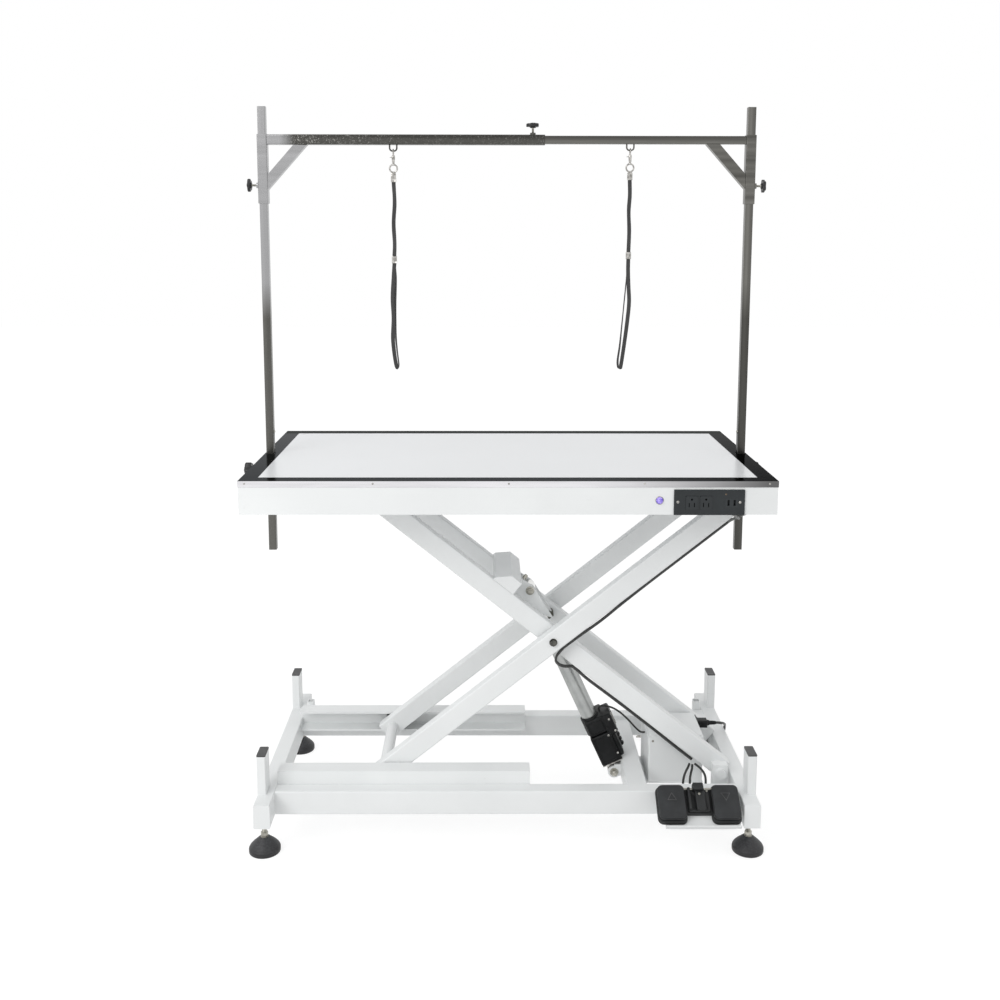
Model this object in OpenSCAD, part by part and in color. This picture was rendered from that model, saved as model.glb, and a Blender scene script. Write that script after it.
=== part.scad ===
// Electric grooming table: scissor lift base, lit top, overhead bar with two nooses.
// Millimetres, +Z up, +X to the right, +Y to the back. The origin is on the floor
// under the middle of the tabletop.

/* [Tabletop] */
// Length of the top, left to right
top_l = 1250; // [1100:10:1500]
// Depth of the top, front to back
top_d = 650; // [600:10:760]
// Height of the top surface with the lift raised
top_z = 958.5; // [930:0.5:990]
// Width of the polished border
border_w = 40; // [30:1:60]
// Height of the polished border's side
border_h = 14.5; // [10:0.5:20]
// Height of the white apron under the border
apron_h = 65; // [60:1:75]
// Thickness of the sheet in the apron
sheet_t = 1.5; // [1:0.1:2.5]

/* [Base] */
// Width of the rail tubes
rail_w = 40; // [30:1:50]
// Height of the rail tubes
rail_h = 60; // [50:1:70]
// Wall of the rail tubes
rail_wall = 2; // [1.5:0.1:3]
// Height of the rails above the floor
rail_z = 101; // [90:1:120]
// Distance of the front and back rails' inner faces from the lift's middle plane
rail_in = 194; // [190:1:200]
// Height of the corner posts above the rails
stop_h = 101; // [60:1:110]
// Width of a corner post
stop_w = 22; // [18:1:30]
// Depth of a corner post
stop_d = 50; // [40:1:60]
// Distance of the corner posts and front feet from the side rails' ends
stop_in = 77; // [60:1:95]
// Distance of the back feet from the side rails' ends
foot_back_in = 29; // [25:1:75]
// Distance of the side rails' outer faces from the top's ends
side_in = 13; // [0:1:15]
// Diameter of a foot
foot_d = 78; // [60:1:90]

/* [Scissor lift] */
// Distance from a lift arm's middle pivot to each of its end pivots
arm_half = 549; // [530:1:560]
// Height of the lower pivots
pivot_z = 166; // [160:1:175]
// Distance of the fixed pivots from the top's end
pivot_in = 80; // [76:1:95]
// Height of the arms' middle pivot with the lift raised
centre_z = 510; // [490:1:515]
// Height of an arm's tube
arm_h = 50; // [40:1:60]
// Width of an arm's tube
arm_w = 30; // [24:1:32]
// Wall of an arm's tube
arm_wall = 2.5; // [2:0.1:4]
// Radius of the pivot pins
pin_r = 10; // [8:0.5:12]
// Radial running clearance of every pin in its bore
run_gap = 0.05; // [0.02:0.01:0.1]
// Diameter of a lower roller
low_roller_d = 45; // [40:1:48]
// Diameter of an upper roller
up_roller_d = 37; // [32:1:40]

/* [Actuator] */
// Diameter of the actuator's main tube
act_tube_d = 40; // [34:1:44]
// Diameter of the motor's tube beside it
motor_tube_d = 38; // [30:1:42]
// Diameter of the actuator's rod
rod_d = 20; // [16:1:24]
// Length of the gear housing along the actuator
gear_l = 130; // [110:1:140]
// Width of the gear housing
gear_w = 58; // [50:1:64]

/* [Overhead bar] */
// Side of the square post tube
post_w = 20; // [18:1:22]
// Height of the posts' upper ends
post_top = 1836; // [1780:1:1900]
// Height of the posts' lower ends
post_low = 703; // [690:1:740]
// Side of the sleeves and of the outer bar
sleeve_w = 25; // [23:1:28]
// Height of the sleeves
sleeve_l = 170; // [120:1:220]
// Height of the bar's middle
bar_z = 1755.5; // [1700:0.5:1780]
// Place of the outer bar's open end
bar_end_x = 95; // [0:1:200]
// Clearance between the telescoping tubes, each side
slip = 0.5; // [0.2:0.1:0.8]
// Width of a brace
brace_w = 25; // [20:1:36]
// Diameter of the star knobs on the bar
knob_d = 32; // [26:1:40]
// Diameter of the clamp knobs at the tabletop
clamp_d = 40; // [32:1:48]

/* [Nooses] */
// Place of the left noose, left to right
noose_lx = -284; // [-400:1:-200]
// Place of the right noose, left to right
noose_rx = 309; // [200:1:400]
// Width of the strap
strap_w = 10; // [8:1:14]
// Thickness of the strap
strap_t = 3; // [2:0.5:4]

/* [Pedal] */
// Width of one pedal
pedal_w = 72; // [60:1:76]
// Length of one pedal
pedal_l = 92; // [80:1:96]
// Tilt of the pedals
pedal_tilt = 38; // [30:1:42]

/* [Cables] */
// Diameter of the mains cord
cord_d = 7; // [6:0.5:8]
// Diameter of the control leads
lead_d = 6; // [5:0.5:7]

/* [Hidden] */

$fn = 48;
// Gap left between faces that move past each other
gap = 0.3;
white = "whitesmoke";
black = "dimgray";
steel = "silver";
polished = "darkgray";

// Lift geometry, all from the pivot sizes above
lift_y = -24;
pivot_x = top_l / 2 - pivot_in;
lift_a = asin((centre_z - pivot_z) / arm_half);
centre_x = pivot_x - arm_half * cos(lift_a);
top_pivot_z = 2 * centre_z - pivot_z;
roller_x = pivot_x - 2 * arm_half * cos(lift_a);
lane_gap = 6;
inner_y = 93;
outer_y = inner_y + arm_w + lane_gap;
arm_over = 28;

// Rails and tracks
side_x = (top_l - rail_w) / 2 - side_in;
side_len = top_d;
stop_x = side_x + (rail_w - stop_w) / 2;
stop_y = side_len / 2 - stop_in;
foot_x = side_x + 10;
foot_back_y = side_len / 2 - foot_back_in;
front_y = lift_y - rail_in;
back_y = lift_y + rail_in;
rail_top = rail_z + rail_h;
track_t = 5;
// A collar on each axle keeps the roller off the arm, and the lower track's edge stops short of it
collar_t = 3;
track_deep = rail_in - outer_y - arm_w / 2 - collar_t - 1;
track_l0 = side_x - rail_w / 2;
track_x1 = 59;
low_open = low_roller_d + 2 * gap;
up_open = up_roller_d + 2 * gap;

// Tabletop
trim_low = top_z - border_h;
apron_low = trim_low - apron_h;
trim_t = 1;
panel_t = 10;
frame_h = 40;
frame_w = 25;
frame_top = top_z - 0.5 - panel_t;
frame_low = frame_top - frame_h;
up_track_y = 38;
up_track_deep = 37;
up_track_t = 4;

// Actuator, in its own plane
act_y = -40;
act_low = [pivot_x - 257, 112];
// The actuator's upper pin, along and above the inner arms
ear_pin = [-106.26, 44.16];
act_up = [centre_x + ear_pin[0] * cos(lift_a) + ear_pin[1] * sin(lift_a),
    centre_z - ear_pin[0] * sin(lift_a) + ear_pin[1] * cos(lift_a)];
act_len = norm(act_up - act_low);
act_a = atan2(act_up[1] - act_low[1], act_up[0] - act_low[0]);
act_pin_r = 5.5;
act_head_r = 8.5;
rod_s0 = 270;
gear_s0 = 28;
tube_end = 405;
motor_off = 42;
gear_shift = 8;

// Control box
box_x0 = pivot_x - 173;
box_x1 = pivot_x - 28;
box_y0 = -95;
box_y1 = 48;
box_z0 = 100;
box_z1 = 228;
beam_x = act_low[0] + 42;
beam_w = 50;

// Posts and bar
post_wall = 1.5;
socket_wall = 2;
socket_r = post_w / 2 + slip + socket_wall;
post_x = top_l / 2 - trim_t - sheet_t - socket_r;
clamp_z = 915;
sleeve_wall = 2;
bar_in = post_x - sleeve_w / 2;
sleeve_top = bar_z + sleeve_w / 2;
knob_z = sleeve_top - 125;
top_knob_x = 65;
eye_drop = 15;
eye_bend = 7.5;
eye_flat = 1.5;
eye_wire = 2;

// Pedal
pedal_x = pivot_x - 80;
pedal_y = -334;
pedal_z = 112;
pedal_mid = 59;
pedal_low = 3;
pedal_floor = 12;

// Outlets and button, on the apron's front face
face_y = -top_d / 2 + trim_t;
outlet_x0 = pivot_x - 162;
outlet_x1 = pivot_x + 2;
outlet_z0 = apron_low;
outlet_h = 60;
button_x = pivot_x - 195;
button_z = apron_low + 34;
button_r = 8;

// Helper shapes
module round_rect(w, h, r) {
    square([w - 2 * r, h], center = true);
    square([w, h - 2 * r], center = true);
    for (sx = [-1, 1], sy = [-1, 1])
        translate([sx * (w / 2 - r), sy * (h / 2 - r)]) circle(r);
}
module tube_face(w, h, wall) {
    difference() {
        round_rect(w, h, wall + 1);
        round_rect(w - 2 * wall, h - 2 * wall, 1);
    }
}
// Extrusions along X and Y: the outline's x and y become Y and Z, or X and Z
module along_x(x0, x1) translate([x0, 0, 0]) rotate([90, 0, 90]) linear_extrude(x1 - x0) children();
module along_y(y0, y1) translate([0, y1, 0]) rotate([90, 0, 0]) linear_extrude(y1 - y0) children();
// Round bar along Y or X
module rod_y(x, z, y0, y1, r) translate([x, y0, z]) rotate([-90, 0, 0]) cylinder(r = r, h = y1 - y0);
module rod_x(y, z, x0, x1, r) translate([x0, y, z]) rotate([0, 90, 0]) cylinder(r = r, h = x1 - x0);
module block(a, b) translate(a) cube(b - a);
// The lift is the same on both sides of its middle plane
module both_sides() {
    children();
    translate([0, 2 * lift_y, 0]) mirror([0, 1, 0]) children();
}
module both_ends() {
    children();
    mirror([1, 0, 0]) children();
}

// Sweep of a round or oval section along a list of points
function unit(v) = v / norm(v);
function run_dir(p, i) = unit(p[min(i + 1, len(p) - 1)] - p[max(i - 1, 0)]);
function side_dir(d) = abs(d[2]) > 0.95 ? unit(cross(d, [0, 1, 0])) : unit(cross(d, [0, 0, 1]));
module sweep(p, ra, rb, sides = 8) {
    n = len(p);
    pts = [for (i = [0:n - 1]) let (d = run_dir(p, i), s = side_dir(d), u = cross(s, d))
        for (k = [0:sides - 1]) let (a = 360 * k / sides) p[i] + s * ra * cos(a) + u * rb * sin(a)];
    walls = [for (i = [0:n - 2]) for (k = [0:sides - 1]) let (m = (k + 1) % sides)
        each [[i * sides + k, (i + 1) * sides + m, (i + 1) * sides + k],
              [i * sides + k, i * sides + m, (i + 1) * sides + m]]];
    ends = concat([[for (k = [sides - 1:-1:0]) k]], [[for (k = [0:sides - 1]) (n - 1) * sides + k]]);
    polyhedron(pts, concat(walls, ends));
}

// Base frame
module long_rails() color(white) {
    for (y = [front_y - rail_w / 2, back_y + rail_w / 2])
        translate([0, y, rail_z + rail_h / 2])
            along_x(-side_x + rail_w / 2, side_x - rail_w / 2) tube_face(rail_w, rail_h, rail_wall);
    for (s = [-1, 1])
        translate([s * (side_x - rail_w / 2 - 15), back_y + rail_w + 10, rail_z + 20])
            linear_extrude(65) tube_face(20, 20, rail_wall);
}
module corner_post() {
    translate([0, 0, rail_top]) linear_extrude(stop_h - 3) tube_face(stop_w, stop_d, rail_wall);
}
module side_frame() {
    difference() {
        union() {
            translate([0, 0, rail_z + rail_h / 2]) along_y(-side_len / 2, side_len / 2)
                tube_face(rail_w, rail_h, rail_wall);
            for (y = [-side_len / 2, side_len / 2 - 3])
                translate([0, 0, rail_z + rail_h / 2]) along_y(y, y + 3)
                    round_rect(rail_w, rail_h, rail_wall + 1);
            for (y = [-stop_y, stop_y]) translate([stop_x - side_x, y, 0]) corner_post();
            for (y = [-stop_y, foot_back_y])
                translate([foot_x - side_x, y, rail_z + 1]) cylinder(r = foot_boss_r, h = 12);
        }
        for (y = [-stop_y, foot_back_y])
            translate([foot_x - side_x, y, rail_z - 1]) cylinder(r = stem_r + run_gap, h = 20);
    }
}
module side_frames() color(white) both_ends() translate([side_x, 0, 0]) side_frame();
module post_caps() color(black)
    for (sx = [-1, 1], sy = [-1, 1])
        translate([sx * stop_x, sy * stop_y, rail_top + stop_h - 3]) {
            linear_extrude(3) round_rect(stop_w, stop_d, 3);
            translate([0, 0, -12]) linear_extrude(12)
                round_rect(stop_w - 2 * rail_wall - 0.4, stop_d - 2 * rail_wall - 0.4, 0.8);
        }
module cross_beam() color(white) {
    translate([beam_x, 0, rail_z + 25]) along_y(front_y, back_y) tube_face(beam_w, 50, rail_wall);
    block([beam_x + beam_w / 2, box_y0, box_z0 - 3], [box_x1, box_y1, box_z0]);
    block([beam_x + beam_w / 2, box_y0, box_z0 - 3], [beam_x + beam_w / 2 + 3, box_y1, box_z0 + 30]);
}
// Channel in which a roller runs, open to one side: deep along Y, walls of thickness t
module channel_face(deep, open, t) {
    difference() {
        translate([0, -open / 2 - t]) square([deep, open + 2 * t]);
        translate([t, -open / 2]) square([deep, open]);
    }
}
module lower_tracks() color(white) both_sides()
    translate([0, front_y, pivot_z]) along_x(-track_l0, track_x1) channel_face(track_deep, low_open, track_t);
module pivot_bracket() {
    y0 = lift_y - outer_y - arm_w / 2 - 7;
    block([pivot_x - 19, y0, rail_z], [pivot_x + 19, y0 + 25, pivot_z + 20]);
    block([pivot_x - 30, front_y, rail_z], [side_x - rail_w / 2, y0 + 25, rail_z + 12]);
    rod_y(pivot_x, pivot_z, y0 - 12, y0, 13);
    rod_y(pivot_x, pivot_z, y0 + 25, lift_y - inner_y - arm_w / 2 - gap, 15);
    rod_y(pivot_x, pivot_z, y0, lift_y - inner_y + arm_w / 2 + 2, pin_r);
}
module pivot_brackets() color(white) both_sides() pivot_bracket();
module actuator_bracket() color(white) {
    for (s = [-1, 1])
        translate([0, act_y + s * 21, 0]) along_y(-3, 3) difference() {
            union() {
                translate(act_low) circle(16);
                translate([act_low[0], act_low[1] - 11]) square([beam_x - beam_w / 2 - act_low[0], 32]);
                translate([act_low[0] - 12, act_low[1]]) square([beam_x - beam_w / 2 - act_low[0] + 12, 12]);
            }
            translate(act_low) circle(act_pin_r);
        }
    rod_y(act_low[0], act_low[1], act_y - 24, act_y + 24, act_pin_r);
    rod_y(act_low[0], act_low[1], act_y - 25.5, act_y - 24, act_head_r + 2);
    for (y = [act_y - 25.5, act_y + 32])
        translate([act_low[0], y, act_low[1]]) rotate([90, 0, 0]) cylinder(r = act_head_r, h = 8, $fn = 6);
}
// Control box: tray with a lid that steps out over it
module control_box() color(white) {
    mid = [(box_x0 + box_x1) / 2, (box_y0 + box_y1) / 2];
    size = [box_x1 - box_x0, box_y1 - box_y0];
    lid_z = box_z1 - 30;
    difference() {
        union() for (r = [[box_z0, lid_z, 3, 4], [lid_z, box_z1 - 4, 0, 5], [box_z1 - 4, box_z1, 8, 5]])
            translate([mid[0], mid[1], r[0]]) linear_extrude(r[1] - r[0])
                round_rect(size[0] - r[2], size[1] - r[2], r[3]);
        translate([mid[0], mid[1], box_z0 - 1]) linear_extrude(box_z1 - box_z0 - 4)
            round_rect(size[0] - 10, size[1] - 10, 2);
    }
}
module box_connectors() color(black) {
    translate([box_x1 + 2, 18, 211]) along_x(-2, 2) round_rect(48, 26, 3);
    rod_x(-62, 185, box_x1 - 1.5, box_x1 + 9, 9);
}

// Feet: a rubber cone on a threaded stem with a nut on the cone and a locknut under the rail
stem_r = 6;
foot_boss_r = 9;
module foot() color(black) {
    rotate_extrude() polygon([[0, 0], [foot_d / 2 - 1, 0], [foot_d / 2, 2], [foot_d / 2, 11],
        [foot_d / 2 - 2.5, 16], [foot_d * 0.28, 30], [13, 38], [9, 40], [stem_r, 40],
        [stem_r, rail_z + 17], [0, rail_z + 17]]);
    for (z = [39.5, rail_z - 12]) translate([0, 0, z]) cylinder(r = 9.5, h = z > 50 ? 8 : 12, $fn = 6);
}
module foot_front_left() translate([-foot_x, -stop_y, 0]) foot();
module foot_front_right() translate([foot_x, -stop_y, 0]) foot();
module foot_back_left() translate([-foot_x, foot_back_y, 0]) foot();
module foot_back_right() translate([foot_x, foot_back_y, 0]) foot();

// Lift arms, drawn level along X about their middle pivot, then turned. The middle bore starts at mid_y.
bolt_r = 5;
// The ends beside the pivots stop short of the side rails in every pose
rail_gap = 3;
rail_room = side_x - rail_w / 2 - pivot_x - rail_gap;
arm_x0 = -arm_half - arm_over;
arm_x1 = arm_half + min(arm_over, rail_room * cos(lift_a) + (pivot_z - rail_top) * sin(lift_a));
module arm_tube(y, low_r, mid_r, mid_y) {
    difference() {
        union() {
            translate([0, y, 0]) along_x(arm_x0, arm_x1) tube_face(arm_w, arm_h, arm_wall);
            for (x = [arm_x0, arm_x1 - 3])
                translate([0, y, 0]) along_x(x, x + 3) round_rect(arm_w, arm_h, arm_wall + 1);
            for (x = [-arm_half, 0, arm_half])
                rod_y(x, 0, y - arm_w / 2 + 1, y + arm_w / 2 - 1, 17);
        }
        rod_y(arm_half, 0, y - arm_w, y + arm_w, low_r);
        rod_y(0, 0, mid_y, y + arm_w, mid_r);
        rod_y(0, 0, y - arm_w, y + arm_w, bolt_r);
    }
}
module on_inner() translate([centre_x, 0, centre_z]) rotate([0, lift_a, 0]) children();
module on_outer() translate([centre_x, 0, centre_z]) rotate([0, -lift_a, 0]) children();
up_axle_r = 8;
up_axle_y = lift_y - inner_y + arm_w / 2;
module inner_arms() color(white) on_inner() both_sides() {
    arm_tube(lift_y - inner_y, pin_r + run_gap, pin_r + run_gap, lift_y - inner_y - arm_w);
    rod_y(-arm_half, 0, up_axle_y - 1, up_axle_y + collar_t, 12);
    rod_y(-arm_half, 0, up_axle_y - 1, up_axle_y + 32, up_axle_r);
}
// Folded cross member on the arms' upper edges, with two ears for the actuator's pin
ear_y = 22;
module ear_face() {
    difference() {
        polygon([[-205, 30], [-150, 54], [-110, 58], [-94, 54], [-14, 25], [-60, 5], [-130, -5], [-185, 10]]);
        translate(ear_pin) circle(act_pin_r);
    }
}
module lever_bracket() color(white) on_inner() {
    half = inner_y + arm_w / 2;
    difference() {
        along_y(lift_y - half, lift_y + half)
            polygon([[-212, arm_h / 2], [-210, 33], [-181, 60], [-149, 60], [-149, arm_h / 2]]);
        along_y(lift_y - half + 3, lift_y + half - 3)
            polygon([[-203, arm_h / 2 + 4], [-202, 33], [-179, 55], [-154, 55], [-154, arm_h / 2 + 4]]);
    }
    for (s = [-1, 1])
        along_y(act_y + s * (ear_y + 3) - 3, act_y + s * (ear_y + 3) + 3) ear_face();
    for (s = [-1, 1]) {
        rod_y(ear_pin[0], ear_pin[1], act_y + s * (ear_y + 3) - 3, act_y + s * (ear_y + 3) + 3, act_pin_r);
        translate([ear_pin[0], act_y + s * (ear_y + 10) - 4, ear_pin[1]])
            rotate([-90, 0, 0]) cylinder(r = act_head_r, h = 8, $fn = 6);
    }
}
low_axle_y = lift_y - outer_y - arm_w / 2;
bolt_in = 6;
module outer_arms() color(white) on_outer() both_sides() {
    arm_tube(lift_y - outer_y, pin_r + run_gap, pin_r, lift_y - outer_y - arm_w / 2 + bolt_in);
    rod_y(-arm_half, 0, low_axle_y - collar_t, low_axle_y + 1, 14);
    rod_y(-arm_half, 0, low_axle_y - 40, low_axle_y + 1, up_axle_r);
}
module spreader_tube() color(white) on_outer()
    difference() {
        rod_y(-arm_half, 0, lift_y - outer_y + arm_w / 2, lift_y + outer_y - arm_w / 2, 15);
        rod_y(-arm_half, 0, lift_y - outer_y, lift_y + outer_y, 12);
    }
module pivot_bolts() color(steel) on_outer() both_sides() {
    y0 = lift_y - outer_y - arm_w / 2;
    y1 = lift_y - inner_y + arm_w / 2;
    rod_y(0, 0, y0 + bolt_in, y1 + 14, pin_r);
    rod_y(0, 0, y0 - 2, y0 + bolt_in + 1, bolt_r);
    rod_y(0, 0, y0 - 1.6, y0, 10);
    translate([0, y0 - 1.6, 0]) rotate([90, 0, 0]) cylinder(r = 8.5, h = 6, $fn = 6);
    rod_y(0, 0, y0 + arm_w, y0 + arm_w + lane_gap - gap, 16);
    translate([0, y1 + 12, 0]) rotate([90, 0, 0]) cylinder(r = 15, h = 12 - gap, $fn = 6);
}
module roller(r, w, bore) {
    difference() {
        union() {
            rod_y(0, 0, 0, w, r - 1);
            rod_y(0, 0, 1.5, w - 1.5, r);
        }
        rod_y(0, 0, -1, w + 1, bore);
        for (k = [0:5]) rotate([0, 60 * k, 0]) rod_y(r * 0.62, 0, -1, 2, r * 0.14);
    }
}
low_r_y = 32;
module lower_roller(y) color("black")
    translate([roller_x, y, pivot_z]) roller(low_roller_d / 2, low_r_y, up_axle_r + run_gap);
module lower_roller_front() lower_roller(low_axle_y - collar_t - gap - low_r_y);
module lower_roller_back() lower_roller(2 * lift_y - low_axle_y + collar_t + gap);
up_r_y = 26;
module upper_roller(y) color("black")
    translate([roller_x, y, top_pivot_z]) roller(up_roller_d / 2, up_r_y, up_axle_r + run_gap);
module upper_roller_front() upper_roller(up_axle_y + collar_t + gap);
module upper_roller_back() upper_roller(2 * lift_y - up_axle_y - collar_t - gap - up_r_y);

// Actuator, drawn upright from its lower pin, then leaned over
module on_actuator() translate([act_low[0], act_y, act_low[1]]) rotate([0, 90 - act_a, 0]) children();
module gear_housing() color("#222222") on_actuator() {
    difference() {
        union() {
            translate([gear_shift, 0, gear_s0]) linear_extrude(gear_l)
                difference() {
                    translate([0, 10]) round_rect(gear_w, 84, 6);
                    for (s = [-1, 1]) translate([s * gear_w / 2, 10]) square([3, 2], center = true);
                }
            translate([-12, -15, 0]) cube([24, 30, gear_s0 + 2]);
            rod_y(0, 0, -15, 15, 16);
            for (k = [0:4])
                translate([gear_shift + gear_w / 2 - 1, 30, gear_s0 + 20 + 20 * k]) cylinder(r = 16, h = 8);
        }
        rod_y(0, 0, -20, 20, act_pin_r + run_gap);
        translate([0, 0, gear_s0 + gear_l - 12]) cylinder(d = act_tube_d, h = 20);
        translate([0, motor_off, gear_s0 + gear_l - 12]) cylinder(d = motor_tube_d, h = 20);
    }
    for (p = [[-18, 20], [22, 20], [22, 112]])
        translate([gear_shift + p[0], -32 - 2.5, gear_s0 + p[1]]) rotate([-90, 0, 0]) cylinder(r = 5, h = 4);
}
module actuator_tubes() color(steel) on_actuator() {
    z0 = gear_s0 + gear_l - 12;
    z1 = tube_end - 14;
    difference() {
        union() {
            translate([0, 0, z0]) cylinder(d = act_tube_d, h = z1 - z0);
            translate([0, 0, z1]) cylinder(d = act_tube_d - 4, h = tube_end - z1);
        }
        translate([0, 0, z0 + 2]) cylinder(d = rod_d + 0.1, h = tube_end);
    }
    translate([0, motor_off, z0]) {
        cylinder(d = motor_tube_d, h = 150);
        translate([0, 0, 150]) cylinder(d1 = motor_tube_d, d2 = motor_tube_d - 12, h = 8, $fn = 24);
    }
}
module actuator_rod() color("gainsboro") on_actuator() {
    translate([0, 0, rod_s0]) cylinder(d = rod_d, h = act_len - rod_s0 - 10);
    difference() {
        union() {
            rod_y(0, act_len, -ear_y + 1, ear_y - 1, 15);
            translate([0, 0, act_len - 20]) cylinder(d = rod_d + 6, h = 10);
        }
        rod_y(0, act_len, -ear_y, -ear_y + 6, act_pin_r);
        rod_y(0, act_len, ear_y - 6, ear_y, act_pin_r);
    }
}

// Tabletop
module ring_face(l, d, w) difference() {
    square([l, d], center = true);
    square([l - 2 * w, d - 2 * w], center = true);
}
module post_holes(extra) for (s = [-1, 1])
    translate([s * post_x, 0]) square([post_w + 2 * extra, post_w + 2 * extra], center = true);
module top_panel() color("white")
    translate([0, 0, top_z - 0.5 - panel_t]) linear_extrude(panel_t)
        square([top_l - 2 * border_w, top_d - 2 * border_w], center = true);
module top_trim() color(polished) {
    translate([0, 0, top_z - 2]) linear_extrude(2) difference() {
        ring_face(top_l, top_d, border_w);
        post_holes(2);
    }
    translate([0, 0, trim_low]) linear_extrude(border_h - 1) ring_face(top_l, top_d, trim_t);
}
module apron() color(white) difference() {
    union() {
        translate([0, 0, apron_low]) linear_extrude(top_z - 2 - apron_low)
            ring_face(top_l - 2 * trim_t, top_d - 2 * trim_t, sheet_t);
        translate([0, 0, apron_low]) linear_extrude(sheet_t)
            ring_face(top_l - 2 * trim_t, top_d - 2 * trim_t, 14);
        both_ends() rod_x(0, clamp_z, top_l / 2 - trim_t - 1, top_l / 2 + 8, 9);
    }
    both_ends() rod_x(0, clamp_z, top_l / 2 - 20, top_l / 2 + 20, 4 + run_gap);
    translate([0, 0, apron_low - 1]) linear_extrude(3) post_holes(2);
    block([outlet_x0 + 8, face_y - 1, outlet_z0 + 8], [outlet_x1 - 8, face_y + 10, outlet_z0 + outlet_h - 8]);
    rod_y(button_x, button_z, face_y - 1, face_y + 10, button_r + run_gap);
}
module socket_tube() difference() {
    linear_extrude(frame_top - apron_low - 6) tube_face(2 * socket_r, 2 * socket_r, socket_wall);
    rod_x(0, clamp_z - apron_low - 6, 5, 20, 4 + run_gap);
}
module under_frame() color(white) {
    fx = post_x - socket_r;
    fy = top_d / 2 - 30;
    for (s = [-1, 1]) {
        translate([0, s * (fy - frame_w / 2), frame_low + frame_h / 2])
            along_x(-fx, fx) tube_face(frame_w, frame_h, 2);
        translate([s * (fx - frame_w / 2), 0, frame_low + frame_h / 2])
            along_y(-fy + frame_w, fy - frame_w) tube_face(frame_w, frame_h, 2);
        translate([0, lift_y + s * (up_track_y + frame_w / 2), frame_low + frame_h / 2])
            along_x(-fx + frame_w, pivot_x - 20) tube_face(frame_w, frame_h, 2);
        translate([s * post_x, 0, apron_low + 6]) mirror([s < 0 ? 1 : 0, 0, 0]) socket_tube();
    }
    translate([pivot_x, 0, frame_low + frame_h / 2])
        along_y(-fy + frame_w, fy - frame_w) tube_face(40, frame_h, 2);
}
// Upper channels under the frame, and the ears that carry the outer arms' upper ends
module upper_tracks() color(white) both_sides() {
    y0 = lift_y - up_track_y - up_track_deep;
    translate([0, y0, top_pivot_z]) along_x(-top_l / 2 + 55, roller_x + 45) {
        translate([up_track_deep, 0]) mirror([1, 0]) channel_face(up_track_deep, up_open, up_track_t);
        translate([up_track_deep - up_track_t, up_open / 2])
            square([up_track_t, frame_low - top_pivot_z - up_open / 2]);
    }
    y1 = lift_y - outer_y + arm_w / 2;
    along_y(y1 + 2, y1 + 9) {
        translate([pivot_x, top_pivot_z]) circle(22);
        translate([pivot_x - 22, top_pivot_z]) square([44, frame_low - top_pivot_z]);
    }
    rod_y(pivot_x, top_pivot_z, y1 - arm_w - 1, y1 + 4, pin_r);
    rod_y(pivot_x, top_pivot_z, y1 + gap, y1 + 2, 15);
    rod_y(pivot_x, top_pivot_z, y1 - arm_w - 5, y1 - arm_w - gap, 15);
}
module outlet_panel() color("#22282B") {
    difference() {
        union() {
            translate([(outlet_x0 + outlet_x1) / 2, 0, outlet_z0 + outlet_h / 2])
                along_y(face_y - 3, face_y) round_rect(outlet_x1 - outlet_x0, outlet_h, 2);
            block([outlet_x0 + 8.3, face_y - 1, outlet_z0 + 8.3],
                [outlet_x1 - 8.3, outlet_back, outlet_z0 + outlet_h - 8.3]);
        }
        for (x = socket_x) block([x - 14, face_y - 4, socket_z - 16], [x + 14, face_y + 12, socket_z + 16]);
        block([usb_x - 15, face_y - 4, socket_z - 11], [usb_x + 15, face_y + 12, socket_z + 11]);
    }
}
outlet_back = face_y + 25;
socket_x = [outlet_x0 + 41, outlet_x0 + 74];
usb_x = outlet_x1 - 31;
socket_z = apron_low + 29;
module sockets() color("#2C3134") {
    for (x = socket_x) translate([x, 0, socket_z]) difference() {
        along_y(face_y - 4.5, face_y + 12) round_rect(28, 32, 3);
        for (s = [-1, 1]) block([s * 6 - 1, face_y - 6, -10], [s * 6 + 1, face_y + 6, 0]);
        rod_y(0, 8, face_y - 6, face_y + 6, 2.5);
    }
    translate([usb_x, 0, socket_z]) difference() {
        along_y(face_y - 3.5, face_y + 12) round_rect(30, 22, 1);
        for (s = [-1, 1]) block([s * 7 - 2.5, face_y - 6, -7], [s * 7 + 2.5, face_y + 6, 7]);
    }
}
module power_button() color("mediumpurple") {
    rod_y(button_x, button_z, face_y - 4, face_y + 14, button_r);
}

// Star knobs: drawn with the head up, stem down to the origin
module star_face(d) {
    circle(d * 0.36);
    for (k = [0:4]) rotate(72 * k) translate([d * 0.34, 0]) circle(d * 0.16);
}
module star_knob(d, stem_r, stem_l, head_h) {
    cylinder(r = stem_r, h = stem_l + 2);
    translate([0, 0, stem_l]) cylinder(r1 = d * 0.2, r2 = d * 0.3, h = head_h * 0.3);
    translate([0, 0, stem_l + head_h * 0.25]) linear_extrude(head_h * 0.55) star_face(d);
    translate([0, 0, stem_l + head_h * 0.7]) cylinder(r1 = d * 0.3, r2 = d * 0.2, h = head_h * 0.3);
}
module clamp_knob(s, out) color("#1E1E1E") translate([s * (post_x + post_w / 2 + gap), 0, clamp_z])
    rotate([0, s * 90, 0]) star_knob(clamp_d, 4, out, 26);
module clamp_knob_left() clamp_knob(-1, 34);
module clamp_knob_right() clamp_knob(1, 16);
module post(s) color(polished) {
    translate([s * post_x, 0, post_low + 3])
        linear_extrude(post_top - post_low - 6) tube_face(post_w, post_w, post_wall);
    for (z = [post_low, post_top - 3])
        translate([s * post_x, 0, z]) linear_extrude(3) round_rect(post_w, post_w, 2.5);
}
module left_post() post(-1);
module right_post() post(1);

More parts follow.
